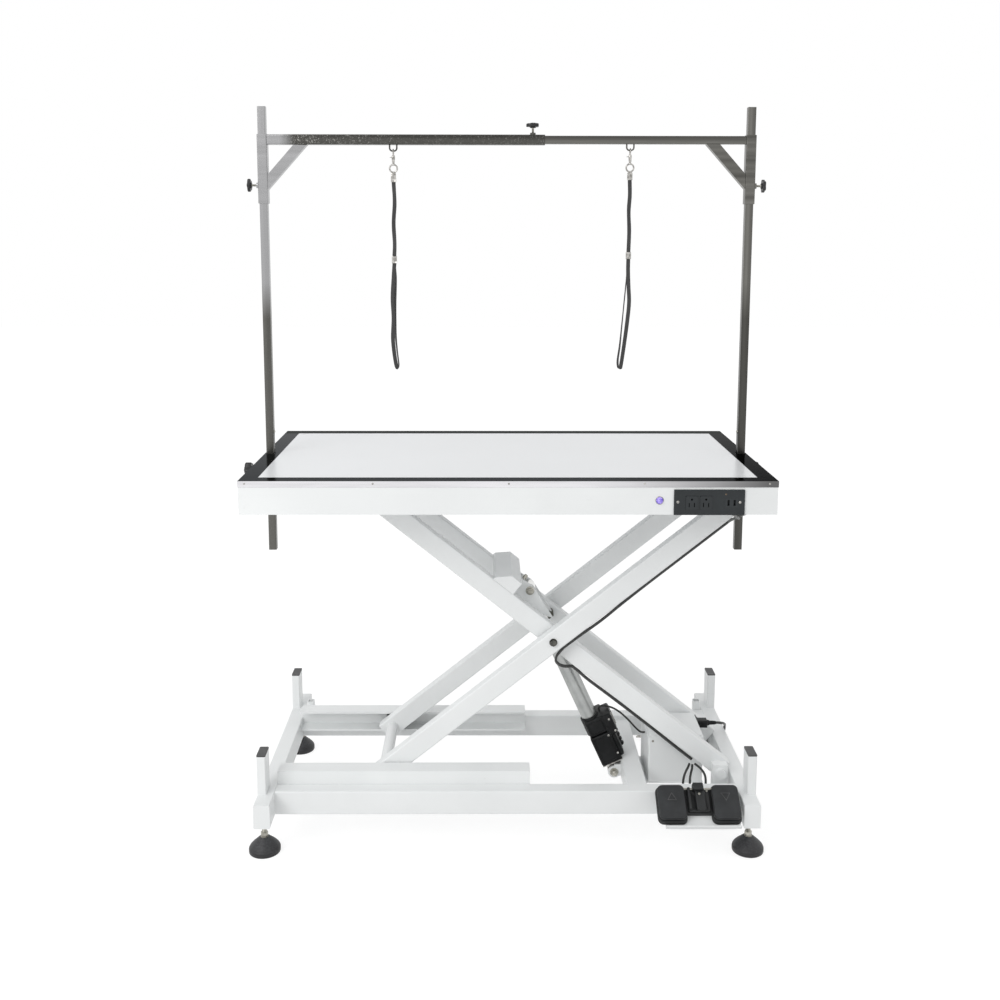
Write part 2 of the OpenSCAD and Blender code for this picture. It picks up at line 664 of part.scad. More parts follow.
// Overhead bar: two sleeves with braces, an outer tube and an inner tube
module sleeve(s) difference() {
    translate([s * post_x, 0, sleeve_top - sleeve_l]) linear_extrude(sleeve_l)
        difference() {
            round_rect(sleeve_w, sleeve_w, 3);
            square(post_w + 2 * slip, center = true);
        }
    rod_x(0, knob_z, s > 0 ? post_x + 5 : -post_x - 20, s > 0 ? post_x + 20 : -post_x - 5, 3 + run_gap);
}
module weld_nut(s) difference() {
    rod_x(0, knob_z, s > 0 ? post_x + sleeve_w / 2 : -post_x - sleeve_w / 2 - 5,
        s > 0 ? post_x + sleeve_w / 2 + 5 : -post_x - sleeve_w / 2, 7);
    rod_x(0, knob_z, s > 0 ? post_x : -post_x - 30, s > 0 ? post_x + 30 : -post_x, 3 + run_gap);
}
brace_run = 92;
module brace(s, low) mirror([s < 0 ? 1 : 0, 0, 0]) along_y(-post_w / 2, post_w / 2)
    intersection() {
        translate([bar_in, low - brace_run]) rotate(132)
            translate([-brace_w, -brace_w / 2]) square([4 * brace_run, brace_w]);
        translate([bar_in - 200, low - 200]) square([200, 200]);
    }
// Staple that carries a noose: two legs, two bends and a short straight run to hang from
module eye(x, low) translate([x, 0, low]) {
    for (s = [-1, 1]) mirror([s < 0 ? 1 : 0, 0, 0]) translate([eye_flat, 0, eye_bend - eye_drop]) {
        rotate([90, 0, 0]) rotate_extrude(angle = -90) translate([eye_bend, 0]) circle(eye_wire);
        translate([eye_bend, 0, 0]) cylinder(r = eye_wire, h = eye_drop - eye_bend);
    }
    rod_x(0, -eye_drop, -eye_flat, eye_flat, eye_wire);
}
module outer_bar() color(polished) {
    sleeve(-1);
    weld_nut(-1);
    difference() {
        translate([0, 0, bar_z]) along_x(-bar_in, bar_end_x) difference() {
            round_rect(sleeve_w, sleeve_w, 3);
            square(post_w + 2 * slip, center = true);
        }
        translate([top_knob_x, 0, bar_z]) cylinder(r = 3 + run_gap, h = 40);
    }
    difference() {
        translate([top_knob_x, 0, bar_z + sleeve_w / 2]) cylinder(r = 7, h = 5);
        translate([top_knob_x, 0, bar_z]) cylinder(r = 3 + run_gap, h = 40);
    }
    brace(-1, bar_z - sleeve_w / 2);
    eye(noose_lx, bar_z - sleeve_w / 2);
}
module inner_bar() color(polished) {
    sleeve(1);
    weld_nut(1);
    translate([0, 0, bar_z]) along_x(-60, bar_in) tube_face(post_w, post_w, post_wall);
    brace(1, bar_z - post_w / 2);
    eye(noose_rx, bar_z - post_w / 2);
}
module top_knob() color("#1E1E1E")
    translate([top_knob_x, 0, bar_z + post_w / 2 + gap]) star_knob(knob_d, 3, 19, 13);
module side_knob(s) color("#1E1E1E") translate([s * (post_x + post_w / 2 + gap), 0, knob_z])
    rotate([0, s * 90, 0]) star_knob(knob_d, 3, 19, 12);
module left_knob() side_knob(-1);
module right_knob() side_knob(1);

// Nooses: a snap hook in the eye, an O-ring, ferrules and a strap with a loop
snap_r = 5;
snap_wire = 1.7;
ring_r = 9.5;
ring_wire = 2;
module torus(r, w) rotate_extrude() translate([r, 0]) circle(w);
module snap(x, low, ferrules) color(steel) translate([x, 0, low - eye_drop]) {
    translate([0, 0, -snap_r + eye_wire + snap_wire - 1 + gap]) {
        rotate([0, 90, 0]) torus(snap_r + 1, snap_wire);
        translate([0, 0, -snap_r - 1 - 24.5]) cylinder(r1 = 2.5, r2 = 4.5, h = 24.5);
    }
    translate([0, 0, -43]) rotate([90, 0, 0]) torus(ring_r, ring_wire);
    translate([0, 0, -43 - ring_r - 6]) cube([strap_w + 2, strap_t + 3, 9], center = true);
    for (z = ferrules)
        translate([0, 0, z + eye_drop]) cube([strap_w + 3, 2 * strap_t + 2, 18], center = true);
}
left_low = bar_z - sleeve_w / 2;
right_low = bar_z - post_w / 2;
// Strap routes, from the middle of the bar's underside down
left_strap = [[0, 0, -92], [2, 0, -143], [-1, 0, -193], [1, 0, -243], [0, 0, -276]];
left_loop = [[0, 0, -294], [-3, 0, -333], [-6, 1, -383], [-4, 0, -433], [-6, -1, -483], [-3, 0, -523],
    [2, 0, -555], [6, 2, -562], [8, 5, -553], [4, 6, -518], [1, 6, -483], [0, 5, -443], [0, 5, -393],
    [2, 5, -333], [0, 4.6, -294]];
right_strap = [[0, 0, -88.5], [1, 0, -125.5], [-1, 0, -165.5], [1, 0, -215.5], [0, 0, -267.5]];
right_loop = [[0, 0, -285.5], [0, 0, -315.5], [2, 0, -355.5], [4, 0, -395.5], [0, 0, -445.5],
    [-7, 0, -505.5], [-13, 0, -550.5], [-16, 0, -565.5], [-20, 3, -563.5], [-22, 5, -545.5],
    [-17, 6, -505.5], [-12, 6, -445.5], [-8, 6, -395.5], [-4, 5, -345.5], [0, 4.6, -285.5]];
module snap_left() snap(noose_lx, left_low, [left_strap[0][2] + 9, left_loop[0][2] + 9]);
module snap_right() snap(noose_rx, right_low, [right_strap[0][2] + 9, right_loop[0][2] + 9]);
module strap(x, low, a, b) color("black") translate([x, 0, low]) {
    sweep(a, strap_w / 2, strap_t / 2);
    sweep(b, strap_w / 2, strap_t / 2);
}
module strap_left() strap(noose_lx, left_low, left_strap, left_loop);
module strap_right() strap(noose_rx, right_low, right_strap, right_loop);

// Pedal on its tray, drawn level and then tilted about X
module on_pedal() translate([pedal_x, pedal_y, pedal_z]) rotate([pedal_tilt, 0, 0]) children();
pedal_total = pedal_mid + 2 * pedal_w;
tray_x0 = -pedal_total / 2 + 18;
tray_x1 = pedal_total / 2 - 3;
module pedal_tray() color(white) {
    on_pedal() {
        translate([tray_x0, -2, -3]) cube([tray_x1 - tray_x0, pedal_l, 3]);
        translate([tray_x0, -5, -3]) cube([tray_x1 - tray_x0, 3, 13]);
    }
    front = front_y - rail_w;
    low_y = pedal_y + 6;
    x0 = pedal_x + tray_x0 + 12;
    x1 = pedal_x + tray_x1 - 12;
    for (x = [x0, x1 - 4]) along_x(x, x + 4)
        polygon([[front - 1, rail_z], [front - 1, pedal_z + (front - 1 - pedal_y) * tan(pedal_tilt) - 3],
            [low_y, pedal_z + 6 * tan(pedal_tilt) - 3], [low_y, rail_z]]);
    block([x0, low_y, rail_z], [x1, front - 1, rail_z + 3]);
    block([x0, front - 3, rail_z], [x1, front, rail_z + 30]);
}
hinge_y = pedal_low + pedal_l - 12;
hinge_z = pedal_floor + 9;
hinge_r = 2.5;
// Base with a pad under each pedal, a narrower bridge between them, a raised middle and a carrying lug
module pedal_base() color("#2A2C2E") on_pedal() translate([0, pedal_low, 0]) {
    linear_extrude(pedal_floor) {
        for (s = [-1, 1])
            translate([s * (pedal_mid + pedal_w) / 2, pedal_l / 2]) round_rect(pedal_w, pedal_l, 14);
        translate([-pedal_mid / 2 - 8, 22]) square([pedal_mid + 16, pedal_l - 28]);
    }
    translate([0, pedal_l / 2 + 8, pedal_floor])
        linear_extrude(10) round_rect(pedal_mid - 5, pedal_l - 34, 6);
    translate([0, pedal_l / 2 + 6, pedal_floor + 10]) linear_extrude(8) round_rect(24, pedal_l - 34, 5);
    translate([-13, pedal_l - 20, pedal_floor + 8]) cube([26, 18, 18]);
    rod_x(hinge_y - pedal_low, hinge_z, -pedal_mid / 2 - 30, pedal_mid / 2 + 30, hinge_r);
}
module pedal(s) color("#3A3C3E") on_pedal() difference() {
    translate([s * (pedal_mid + pedal_w) / 2, pedal_low + pedal_l / 2, pedal_floor + 4.5]) {
        linear_extrude(9) round_rect(pedal_w - 4, pedal_l - 6, 12);
        translate([0, 0, 9]) linear_extrude(3) round_rect(pedal_w - 10, pedal_l - 12, 10);
    }
    translate([s * (pedal_mid / 2 + 15), 0, 0]) rod_x(hinge_y, hinge_z, -20, 17, hinge_r + run_gap);
}
module pedal_up() pedal(-1);
module pedal_down() pedal(1);

// Leads: two run one above the other along the arms' lower edges, and three reach the base.
// The routes on the arms are in the arms' own directions, the others are in the frame's.
lead_v = -arm_h / 2 - lead_d / 2 - 0.3;
second_lead = [0, 5.6, -4.4];
lead_y = -161;
in_lead_y = -127;
// A point on the outer arms, the inner arms or the actuator, in the frame
function leaned(x, y, z, a) = [centre_x + x * cos(a) - z * sin(a), y, centre_z + x * sin(a) + z * cos(a)];
function outer_pt(x, y, z) = leaned(x, y, z, lift_a);
function inner_pt(x, y, z) = leaned(x, y, z, -lift_a);
function act_pt(x, y, z) = [act_low[0] + x * sin(act_a) + z * cos(act_a), act_y + y,
    act_low[1] - x * cos(act_a) + z * sin(act_a)];
// Routes laid out for the pivot at 545 move with it
laid_x = pivot_x - 545;
function moved(p, by) = [for (q = p) q + by];
top_s = arm_half - 21;
low_s = arm_half - 59;
out_path = [[top_s, lead_y, 0], [top_s - 18, lead_y, 0], [440, lead_y, 0], [360, lead_y, 0],
    [280, lead_y, 0], [200, lead_y, -1], [130, lead_y, -3], [70, lead_y, -1], [32, lead_y, 0],
    [20, lead_y, 0]];
bend_path = concat([outer_pt(20, lead_y, lead_v), outer_pt(12, lead_y, lead_v)],
    moved([[12, -159.6, -33], [8.6, -157, -43], [8, -153, -53], [16, -144, -65.5], [31, -135, -74.5]],
        [centre_x, 0, centre_z]),
    [inner_pt(89, in_lead_y, lead_v), inner_pt(97, in_lead_y, lead_v)]);
in_path = [[97, in_lead_y, 0], [107, in_lead_y, 0], [140, in_lead_y, -2], [200, in_lead_y, -1],
    [280, in_lead_y, 0], [360, in_lead_y, 0], [430, in_lead_y, -1], [low_s, in_lead_y, -1]];
// The three pedal leads come off the inner arm's leads and end at the back of the front rail
base_starts = [[474, -130, 168], [481, -132, 166], [488, -130, 168]];
base_mids = [
    [[468, -142, 164], [459, -162, 163], [450, -184, 158], [445, -200, 146]],
    [[478, -146, 163], [472, -164, 161], [466, -184, 156], [463, -200, 144]],
    [[498, -142, 164], [505, -160, 160], [506, -180, 156], [503, -199, 145]]];
base_ends = [442, 460, 499];
base_paths = [for (i = [0:2]) concat(moved(concat([base_starts[i]], base_mids[i]), [laid_x, 0, 0]),
    [for (y = [front_y + 9, front_y]) [base_ends[i] + laid_x, y, 133]])];
module lead(p) sweep(p, lead_d / 2, lead_d / 2);
module two_leads() color("black") for (k = [0, 1]) translate(k * second_lead) children();
module outer_arm_cable() two_leads() on_outer() translate([0, 0, lead_v]) lead(out_path);
module inner_arm_cable() two_leads() on_inner() translate([0, 0, lead_v]) lead(in_path);
module cable_bend() two_leads() lead(bend_path);
module base_cables() color("black") for (p = base_paths) lead(p);
// Two leads from the back of the outlet box to the outer arm's leads
arm_start = outer_pt(top_s, lead_y, lead_v);
arm_run = outer_pt(top_s + 8, lead_y, lead_v) - arm_start;
box_start = [outlet_x1 - 42, outlet_back, outlet_z0 + 13];
table_paths = [
    concat(moved([[0, 0, 0], [0, 7, 0], [6, 20, -10], [22, 40, -24], [40, 66, -38]], box_start),
        moved([[18, -36, 18], [20, -16, 14]], arm_start), [arm_start + arm_run, arm_start]),
    concat(moved([[20, 0, 0], [20, 8, 0], [34, 24, -10], [56, 50, -26], [74, 78, -36]], box_start),
        moved([[38, -18, 24], [28, 2, 13]], arm_start),
        [arm_start + second_lead + arm_run, arm_start + second_lead])];
module table_leads() color("black") for (p = table_paths) lead(p);
motor_top = gear_s0 + gear_l;
motor_path = concat([act_pt(29.9, 10, motor_top), act_pt(29.9, 10, motor_top + 5)],
    moved([[249, -30, 277.5], [254, -30, 281], [263, -30, 281.5], [275, -30, 279], [290, -30, 273],
        [308, -31, 261], [328, -32, 242], [344, -32, 224], [355, -32, 213]], [laid_x, 0, 0]),
    [[box_x0 - 9, -32, 208], [box_x0, -32, 208]]);
module motor_cable() color("black") sweep(motor_path, 2.5, 2.5);
// Mains cord: out of the plug, back over the right rail, down behind it and round the foot to a coil
cord_path = moved([[572, 18, 211], [576.5, 18.2, 211], [586, 22, 208.5], [597, 38, 200], [606, 62, 186],
    [611.5, 84, 174], [615.2, 100, 163.5], [617, 112, 148], [618, 124, 124], [619, 134, 96], [622, 146, 60],
    [629, 160, 27],
    [640, 180, 7.5], [649, 205, 3.6], [654, 240, 3.6], [656, 280, 3.6], [654, 325, 3.6], [640, 358, 3.6],
    [614, 375, 3.6], [582, 380, 3.6], [556, 374, 3.6], [534, 363, 3.6], [520, 359.4, 3.6],
    [513, 358.8, 3.6]], [laid_x, 0, 0]);
// Coil: two layers of loops that spiral in and out again
coil_x = pivot_x - 39;
coil_y = 312;
coil_r = 31.2;
coil_turns = 4;
coil_step = cord_d + 0.8;
coil_rise = cord_d + 0.6;
coil_rings = 24;
coil_out = coil_r + coil_step * coil_turns / 2;
coil_z = 3.6;
function climb(u) = let (k = min(max((u - coil_turns / 2 + 0.25) / 0.5, 0), 1))
    coil_z + coil_rise * (3 * k * k - 2 * k * k * k);
function coil_at(u) = let (r = coil_r + coil_step * abs(u - coil_turns / 2), a = 90 + 360 * u)
    [coil_x + r * cos(a), coil_y + r * sin(a), climb(u)];
coil_path = concat([[coil_x + cord_d, coil_y + coil_out, coil_z]],
    [for (i = [0:coil_rings * coil_turns]) coil_at(i / coil_rings)],
    [[coil_x - 16, coil_y + coil_out + 0.6, coil_z + coil_rise],
     [coil_x - 30, coil_y + coil_out + 1, coil_z + coil_rise - 0.4],
     [coil_x - 39, coil_y + coil_out + 1, 11], [coil_x - 46, coil_y + coil_out + 1, 11]]);
module power_cord() color("black") sweep(cord_path, cord_d / 2, cord_d / 2);
module power_cord_coil() color("black") sweep(coil_path, cord_d / 2, cord_d / 2, 6);
module iec_plug() color("black") translate([box_x1 + 4, 18, 211]) {
    along_x(0, 28) round_rect(26, 20, 4);
    rod_x(0, 0, 28, 51, 5);
}
module mains_plug() color("black") translate([coil_x - 46, coil_y + coil_out + 1, 11]) {
    along_x(-36, -8) round_rect(26, 20, 5);
    along_x(-8, 0) round_rect(14, 12, 4);
    for (s = [-1, 1]) translate([0, s * 6.4, 0]) along_x(-53, -36) round_rect(1.6, 6.4, 0.7);
    rod_x(0, -5, -55, -36, 2.4);
}

long_rails();
side_frames();
cross_beam();
lower_tracks();
post_caps();
pivot_brackets();
actuator_bracket();
control_box();
box_connectors();
pedal_tray();
pedal_base();
base_cables();
motor_cable();
power_cord();
power_cord_coil();
iec_plug();
mains_plug();
foot_front_left();
foot_front_right();
foot_back_left();
foot_back_right();
inner_arms();
lever_bracket();
inner_arm_cable();
outer_arms();
spreader_tube();
pivot_bolts();
outer_arm_cable();
cable_bend();
lower_roller_front();
lower_roller_back();
upper_roller_front();
upper_roller_back();
gear_housing();
actuator_tubes();
actuator_rod();
top_panel();
top_trim();
apron();
under_frame();
upper_tracks();
outlet_panel();
sockets();
table_leads();
power_button();
clamp_knob_left();
clamp_knob_right();
left_post();
right_post();
outer_bar();
inner_bar();
top_knob();
left_knob();
right_knob();
snap_left();
strap_left();
snap_right();
strap_right();
pedal_up();
pedal_down();
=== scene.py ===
"""Looks of an electric grooming table: finishes, cords, fittings and the studio around its CAD frame."""

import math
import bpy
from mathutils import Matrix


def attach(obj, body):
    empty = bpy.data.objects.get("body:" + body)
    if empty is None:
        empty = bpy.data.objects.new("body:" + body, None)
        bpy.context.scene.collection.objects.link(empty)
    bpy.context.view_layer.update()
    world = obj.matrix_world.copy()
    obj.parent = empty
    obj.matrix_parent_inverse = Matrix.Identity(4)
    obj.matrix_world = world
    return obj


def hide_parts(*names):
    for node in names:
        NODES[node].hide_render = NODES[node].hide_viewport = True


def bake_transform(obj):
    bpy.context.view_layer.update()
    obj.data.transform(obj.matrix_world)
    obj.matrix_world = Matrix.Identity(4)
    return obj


bl_info = {
    "name": "Electric grooming table",
    "version": (1, 0, 0),
    "blender": (4, 5, 0),
    "location": "3D View > Sidebar > Grooming",
    "description": "Dresses the frame of an electric scissor lift grooming table",
    "category": "Object",
}

import bmesh
import bpy
from bpy.props import FloatProperty, FloatVectorProperty, PointerProperty
from mathutils import Matrix, Vector

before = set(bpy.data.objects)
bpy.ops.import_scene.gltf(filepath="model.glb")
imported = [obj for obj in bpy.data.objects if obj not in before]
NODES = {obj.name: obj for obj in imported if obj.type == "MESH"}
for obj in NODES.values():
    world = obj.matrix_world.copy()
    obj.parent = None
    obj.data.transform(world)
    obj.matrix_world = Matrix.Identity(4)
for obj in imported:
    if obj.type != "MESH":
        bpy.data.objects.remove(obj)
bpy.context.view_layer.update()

MM = 0.001
UP = Vector((0, 0, 1))
FRONT = Vector((0, -1, 0))
RIGHT = Vector((1, 0, 0))


# Places


def at(x, y, z):
    """A point given in millimetres, in metres."""
    return Vector((x, y, z)) * MM


def shift(x, y, z):
    return Matrix.Translation(at(x, y, z))


def rotation(degrees, axis):
    return Matrix.Rotation(math.radians(degrees), 4, axis)


def facing(place, direction):
    """Puts a piece drawn along +Z at place, with its +Z along direction."""
    return Matrix.Translation(place) @ Vector(direction).to_track_quat("Z", "Y").to_matrix().to_4x4()


# Underside of the overhead bar, where its braces meet it
BAR_Z, BAR_W = 1755.5, 25
BAR_LOW = (BAR_Z - BAR_W / 2) * MM
# The lift's own directions, from the part's pivot sizes
ARM_HALF, ARM_H, PIVOT_X, PIVOT_Z, CENTRE_Z = 549, 50, 545, 166, 510
LIFT_ANGLE = math.asin((CENTRE_Z - PIVOT_Z) / ARM_HALF)
CENTRE_X = PIVOT_X - ARM_HALF * math.cos(LIFT_ANGLE)
ON_OUTER = shift(CENTRE_X, 0, CENTRE_Z) @ Matrix.Rotation(-LIFT_ANGLE, 4, "Y")
ON_INNER = shift(CENTRE_X, 0, CENTRE_Z) @ Matrix.Rotation(LIFT_ANGLE, 4, "Y")
# The actuator's lower and upper pins, x and z, and its own direction
ACT_LOW, ACT_UP, ACT_Y = (288, 112), (62, 611), -40
ACT_ANGLE = math.atan2(ACT_UP[1] - ACT_LOW[1], ACT_UP[0] - ACT_LOW[0])
ON_ACTUATOR = shift(ACT_LOW[0], ACT_Y, ACT_LOW[1]) @ Matrix.Rotation(math.pi / 2 - ACT_ANGLE, 4, "Y")
ON_PEDAL = shift(465, -334, 112) @ rotation(38, "X")
# Where each cover's middle and its hinge lie on the foot switch
PEDAL_X, HINGE_Y, HINGE_Z = 65.5, 83, 21
# The control box's right wall with its inlet
BOX_X, INLET_Y, INLET_Z = 517, 18, 211
# The apron's front, the border's two long sides, and where the stems of the posts' knobs start
APRON_Y, BORDER_Y = -324, 325
KNOB_X, CLAMP_Z, SLEEVE_Z = 620.3, 915, 1643
FOOT_X, FOOT_FRONT, FOOT_BACK = 602, -248, 296
# The outlet panel's middle and the power button's, on the apron
OUTLET_X, BUTTON_X, BUTTON_Z = 465, 350, 913


# Modelling


def only(piece):
    bpy.ops.object.select_all(action="DESELECT")
    piece.select_set(True)
    bpy.context.view_layer.objects.active = piece


def primitive(name, kind, **settings):
    """Adds a mesh primitive with nothing else selected."""
    bpy.ops.object.select_all(action="DESELECT")
    getattr(bpy.ops.mesh, f"primitive_{kind}_add")(**settings)
    piece = bpy.context.object
    piece.name = name
    return piece


def edit(piece, kind="FACE"):
    only(piece)
    bpy.ops.object.mode_set(mode="EDIT")
    bpy.ops.mesh.select_mode(type=kind)


def pick(piece, kind, test):
    """Selects the faces, edges or verts of a piece in edit mode that pass the test."""
    bpy.ops.mesh.select_all(action="DESELECT")
    mesh = bmesh.from_edit_mesh(piece.data)
    for part in getattr(mesh, kind):
        if test(part):
            part.select_set(True)
    mesh.select_flush_mode()
    bmesh.update_edit_mesh(piece.data)


def draw_up(height):
    """Extrudes what is selected along Z by height millimetres."""
    bpy.ops.mesh.extrude_region_move(TRANSFORM_OT_translate={"value": (0, 0, height * MM)})


def widen(share, level=0):
    """Scales what is selected about the Z axis, at level millimetres."""
    bpy.ops.transform.resize(value=(share, share, 1), center_override=(0, 0, level * MM))


def leave():
    """Closes edit mode with every face pointing outwards."""
    bpy.ops.mesh.select_all(action="SELECT")
    bpy.ops.mesh.normals_make_consistent(inside=False)
    bpy.ops.object.mode_set(mode="OBJECT")


def press(piece, test, *insets):
    """Insets the faces of a piece that pass the test, by each (rim, depth) in turn, in millimetres."""
    edit(piece)
    pick(piece, "faces", test)
    for rim, depth in insets:
        bpy.ops.mesh.inset(thickness=rim * MM, depth=depth * MM)
    leave()


def modify(piece, kind, **settings):
    only(piece)
    bpy.ops.object.modifier_add(type=kind)
    modifier = piece.modifiers[-1]
    for key, value in settings.items():
        setattr(modifier, key, value)
    bpy.ops.object.modifier_apply(modifier=modifier.name)


def soften(piece, width, segments=2, angle=35):
    """Rounds a piece's edges by width millimetres."""
    modify(piece, "BEVEL", width=width * MM, segments=segments, limit_method="ANGLE",
           angle_limit=math.radians(angle))


def turned(name, rings, steps=32):
    """A turned piece: a disc drawn out ring by ring. Rings are (radius, height) in millimetres."""
    radius, height = rings[0]
    piece = primitive(name, "circle", vertices=steps, radius=radius * MM, fill_type="NGON",
                      location=(0, 0, height * MM))
    edit(piece)
    bpy.ops.mesh.select_all(action="SELECT")
    for wide, high in rings[1:]:
        draw_up(high - height)
        widen(wide / radius, high)
        radius, height = wide, high
    leave()
    return piece


def block(name, low, high, rounding=1.0, segments=2):
    """A cast or folded block between two corners, in millimetres, with rounded edges."""
    low, high = at(*low), at(*high)
    piece = primitive(name, "cube", size=1, location=(low + high) / 2, scale=high - low)
    bpy.ops.object.transform_apply(location=True, rotation=True, scale=True)
    soften(piece, rounding, segments)
    return piece


def plate(name, outline, low, high, rounding=0.6, segments=2):
    """A flat piece: an outline in millimetres, drawn up from low to high along Z."""
    piece = primitive(name, "circle", vertices=len(outline), radius=MM, fill_type="NGON", location=(0, 0, 0))
    for vertex, (x, y) in zip(piece.data.vertices, outline):
        vertex.co = at(x, y, low)
    edit(piece)
    bpy.ops.mesh.select_all(action="SELECT")
    draw_up(high - low)
    leave()
    if rounding:
        soften(piece, rounding, segments)
    return piece


def rounded(x0, y0, x1, y1, radius, steps=6):
    """The outline of a rectangle with round corners, in millimetres."""
    corners = ((x1 - radius, y1 - radius, 0), (x0 + radius, y1 - radius, 90),
               (x0 + radius, y0 + radius, 180), (x1 - radius, y0 + radius, 270))
    outline = []
    for x, y, start in corners:
        for i in range(steps + 1):
            angle = math.radians(start + 90 * i / steps)
            outline.append((x + radius * math.cos(angle), y + radius * math.sin(angle)))
    return outline


def centred(x, y, half_x, half_y, radius):
    """The outline of a rectangle with round corners about its middle, in millimetres."""
    return rounded(x - half_x, y - half_y, x + half_x, y + half_y, radius)


def round_section(radius, sides=14):
    return [(radius * math.cos(2 * math.pi * k / sides), radius * math.sin(2 * math.pi * k / sides))
            for k in range(sides)]


def hexagon(radius):
    return round_section(radius, 6)


def ring(name, radius, wire, steps=40):
    return primitive(name, "torus", major_radius=radius * MM, minor_radius=wire * MM, major_segments=steps,
                     minor_segments=12)


def joined(name, pieces):
    """One piece made of several that are fastened or moulded together."""
    bpy.ops.object.select_all(action="DESELECT")
    for piece in pieces:
        piece.select_set(True)
    bpy.context.view_layer.objects.active = pieces[0]
    bpy.ops.object.join()
    pieces[0].name = name
    return pieces[0]


def cut(piece, cutter):
    """Takes a cutter's shape out of a piece."""
    modify(piece, "BOOLEAN", object=cutter, operation="DIFFERENCE", solver="EXACT")
    bpy.data.objects.remove(cutter)
    return piece


def place(piece, matrix):
    """Moves a piece and keeps its place in its mesh."""
    only(piece)
    piece.matrix_world = matrix @ piece.matrix_world
    bpy.ops.object.transform_apply(location=True, rotation=True, scale=True)
    return piece


def screw_head(radius, high, where):
    """A domed screw head with a socket in its middle, seated where the matrix says and facing its +Z."""
    head = turned("head", [(radius, -0.6), (radius, high * 0.3), (radius * 0.86, high * 0.72),
                           (radius * 0.62, high), (radius * 0.44, high), (radius * 0.36, high * 0.3)], 20)
    return place(head, where)


def threads(radius, root, low, high, pitch, flank):
    """The rings of a screw thread that starts at low and whose turns start below high."""
    rings = []
    while low < high:
        rings += [(radius, low), (root, low + flank), (root, low + pitch - flank), (radius, low + pitch)]
        low += pitch
    return rings


def copied(piece, name, matrix):
    """A copy with its own mesh, moved by matrix."""
    twin = piece.copy()
    twin.data = piece.data.copy()
    bpy.context.scene.collection.objects.link(twin)
    twin.name = name
    return place(twin, matrix)


def settle(piece, body, finish, smooth=38, stands_for=()):
    """Gives a finished piece its shading, material and body, and hides the nodes that it stands for."""
    only(piece)
    bpy.ops.object.transform_apply(location=True, rotation=True, scale=True)
    bpy.ops.object.shade_smooth_by_angle(angle=math.radians(smooth))
    material, slot = FINISHES[finish]
    piece.data.materials.clear()
    piece.data.materials.append(material)
    if stands_for:
        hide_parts(*stands_for)
    if body:
        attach(piece, body)
    return piece


# Routes

# How far apart the points of a cord's line lie, in metres
MAINS_SPACING, LEAD_SPACING, HOOK_SPACING = 0.005, 0.004, 0.0012


def smooth_path(points, spacing):
    """A smooth line through points in millimetres, as points in metres about spacing metres apart."""
    points = [at(*p) for p in points]
    line = [2 * points[0] - points[1], *points, 2 * points[-1] - points[-2]]
    path = []
    for a, b, c, d in zip(line, line[1:], line[2:], line[3:]):
        steps = max(1, round((c - b).length / spacing))
        for i in range(steps):
            t = i / steps
            path.append(0.5 * (2 * b + (c - a) * t + (2 * a - 5 * b + 4 * c - d) * t * t
                               + (3 * b - a - 3 * c + d) * t ** 3))
    return path + [points[-1]]


def path_length(path):
    return sum((b - a).length for a, b in zip(path, path[1:]))


def swept(name, path, section, side, twist=lambda share: 0):
    """A section swept along a path, turned by twist degrees. Section points are metres along side and
    across it; the UV map is in metres."""
    mesh = bmesh.new()
    layer = mesh.loops.layers.uv.new("UVMap")
    total, run, rows, runs = path_length(path), 0, [], []
    side = Vector(side)
    for i, point in enumerate(path):
        ahead = (path[min(i + 1, len(path) - 1)] - path[max(i - 1, 0)]).normalized()
        side = (side - ahead * side.dot(ahead)).normalized()
        if i:
            run += (point - path[i - 1]).length
        angle = math.radians(twist(run / total))
        across = ahead.cross(side)
        wide = side * math.cos(angle) + across * math.sin(angle)
        thick = ahead.cross(wide)
        rows.append([mesh.verts.new(point + wide * u + thick * v) for u, v in section])
        runs.append(run)
    around = [0]
    for (a, b), (c, d) in zip(section, section[1:] + section[:1]):
        around.append(around[-1] + math.hypot(c - a, d - b))
    for i in range(len(rows) - 1):
        for k in range(len(section)):
            nxt = (k + 1) % len(section)
            face = mesh.faces.new((rows[i][k], rows[i][nxt], rows[i + 1][nxt], rows[i + 1][k]))
            for loop, u, v in zip(face.loops, (k, k + 1, k + 1, k), (i, i, i + 1, i + 1)):
                loop[layer].uv = (around[u], runs[v])
    for row in (rows[0][::-1], rows[-1]):
        mesh.faces.new(row)
    bmesh.ops.recalc_face_normals(mesh, faces=mesh.faces)
    data = bpy.data.meshes.new(name)
    mesh.to_mesh(data)
    mesh.free()
    piece = bpy.data.objects.new(name, data)
    bpy.context.scene.collection.objects.link(piece)
    return piece


def webbing_section(width, thickness, sides=24, squareness=0.55):
    """The outline of a woven strap: flat faces with round selvedges."""
    return [(math.copysign(abs(c) ** squareness, c) * width / 2,
             math.copysign(abs(s) ** squareness, s) * thickness / 2) for c, s in round_section(1, sides)]


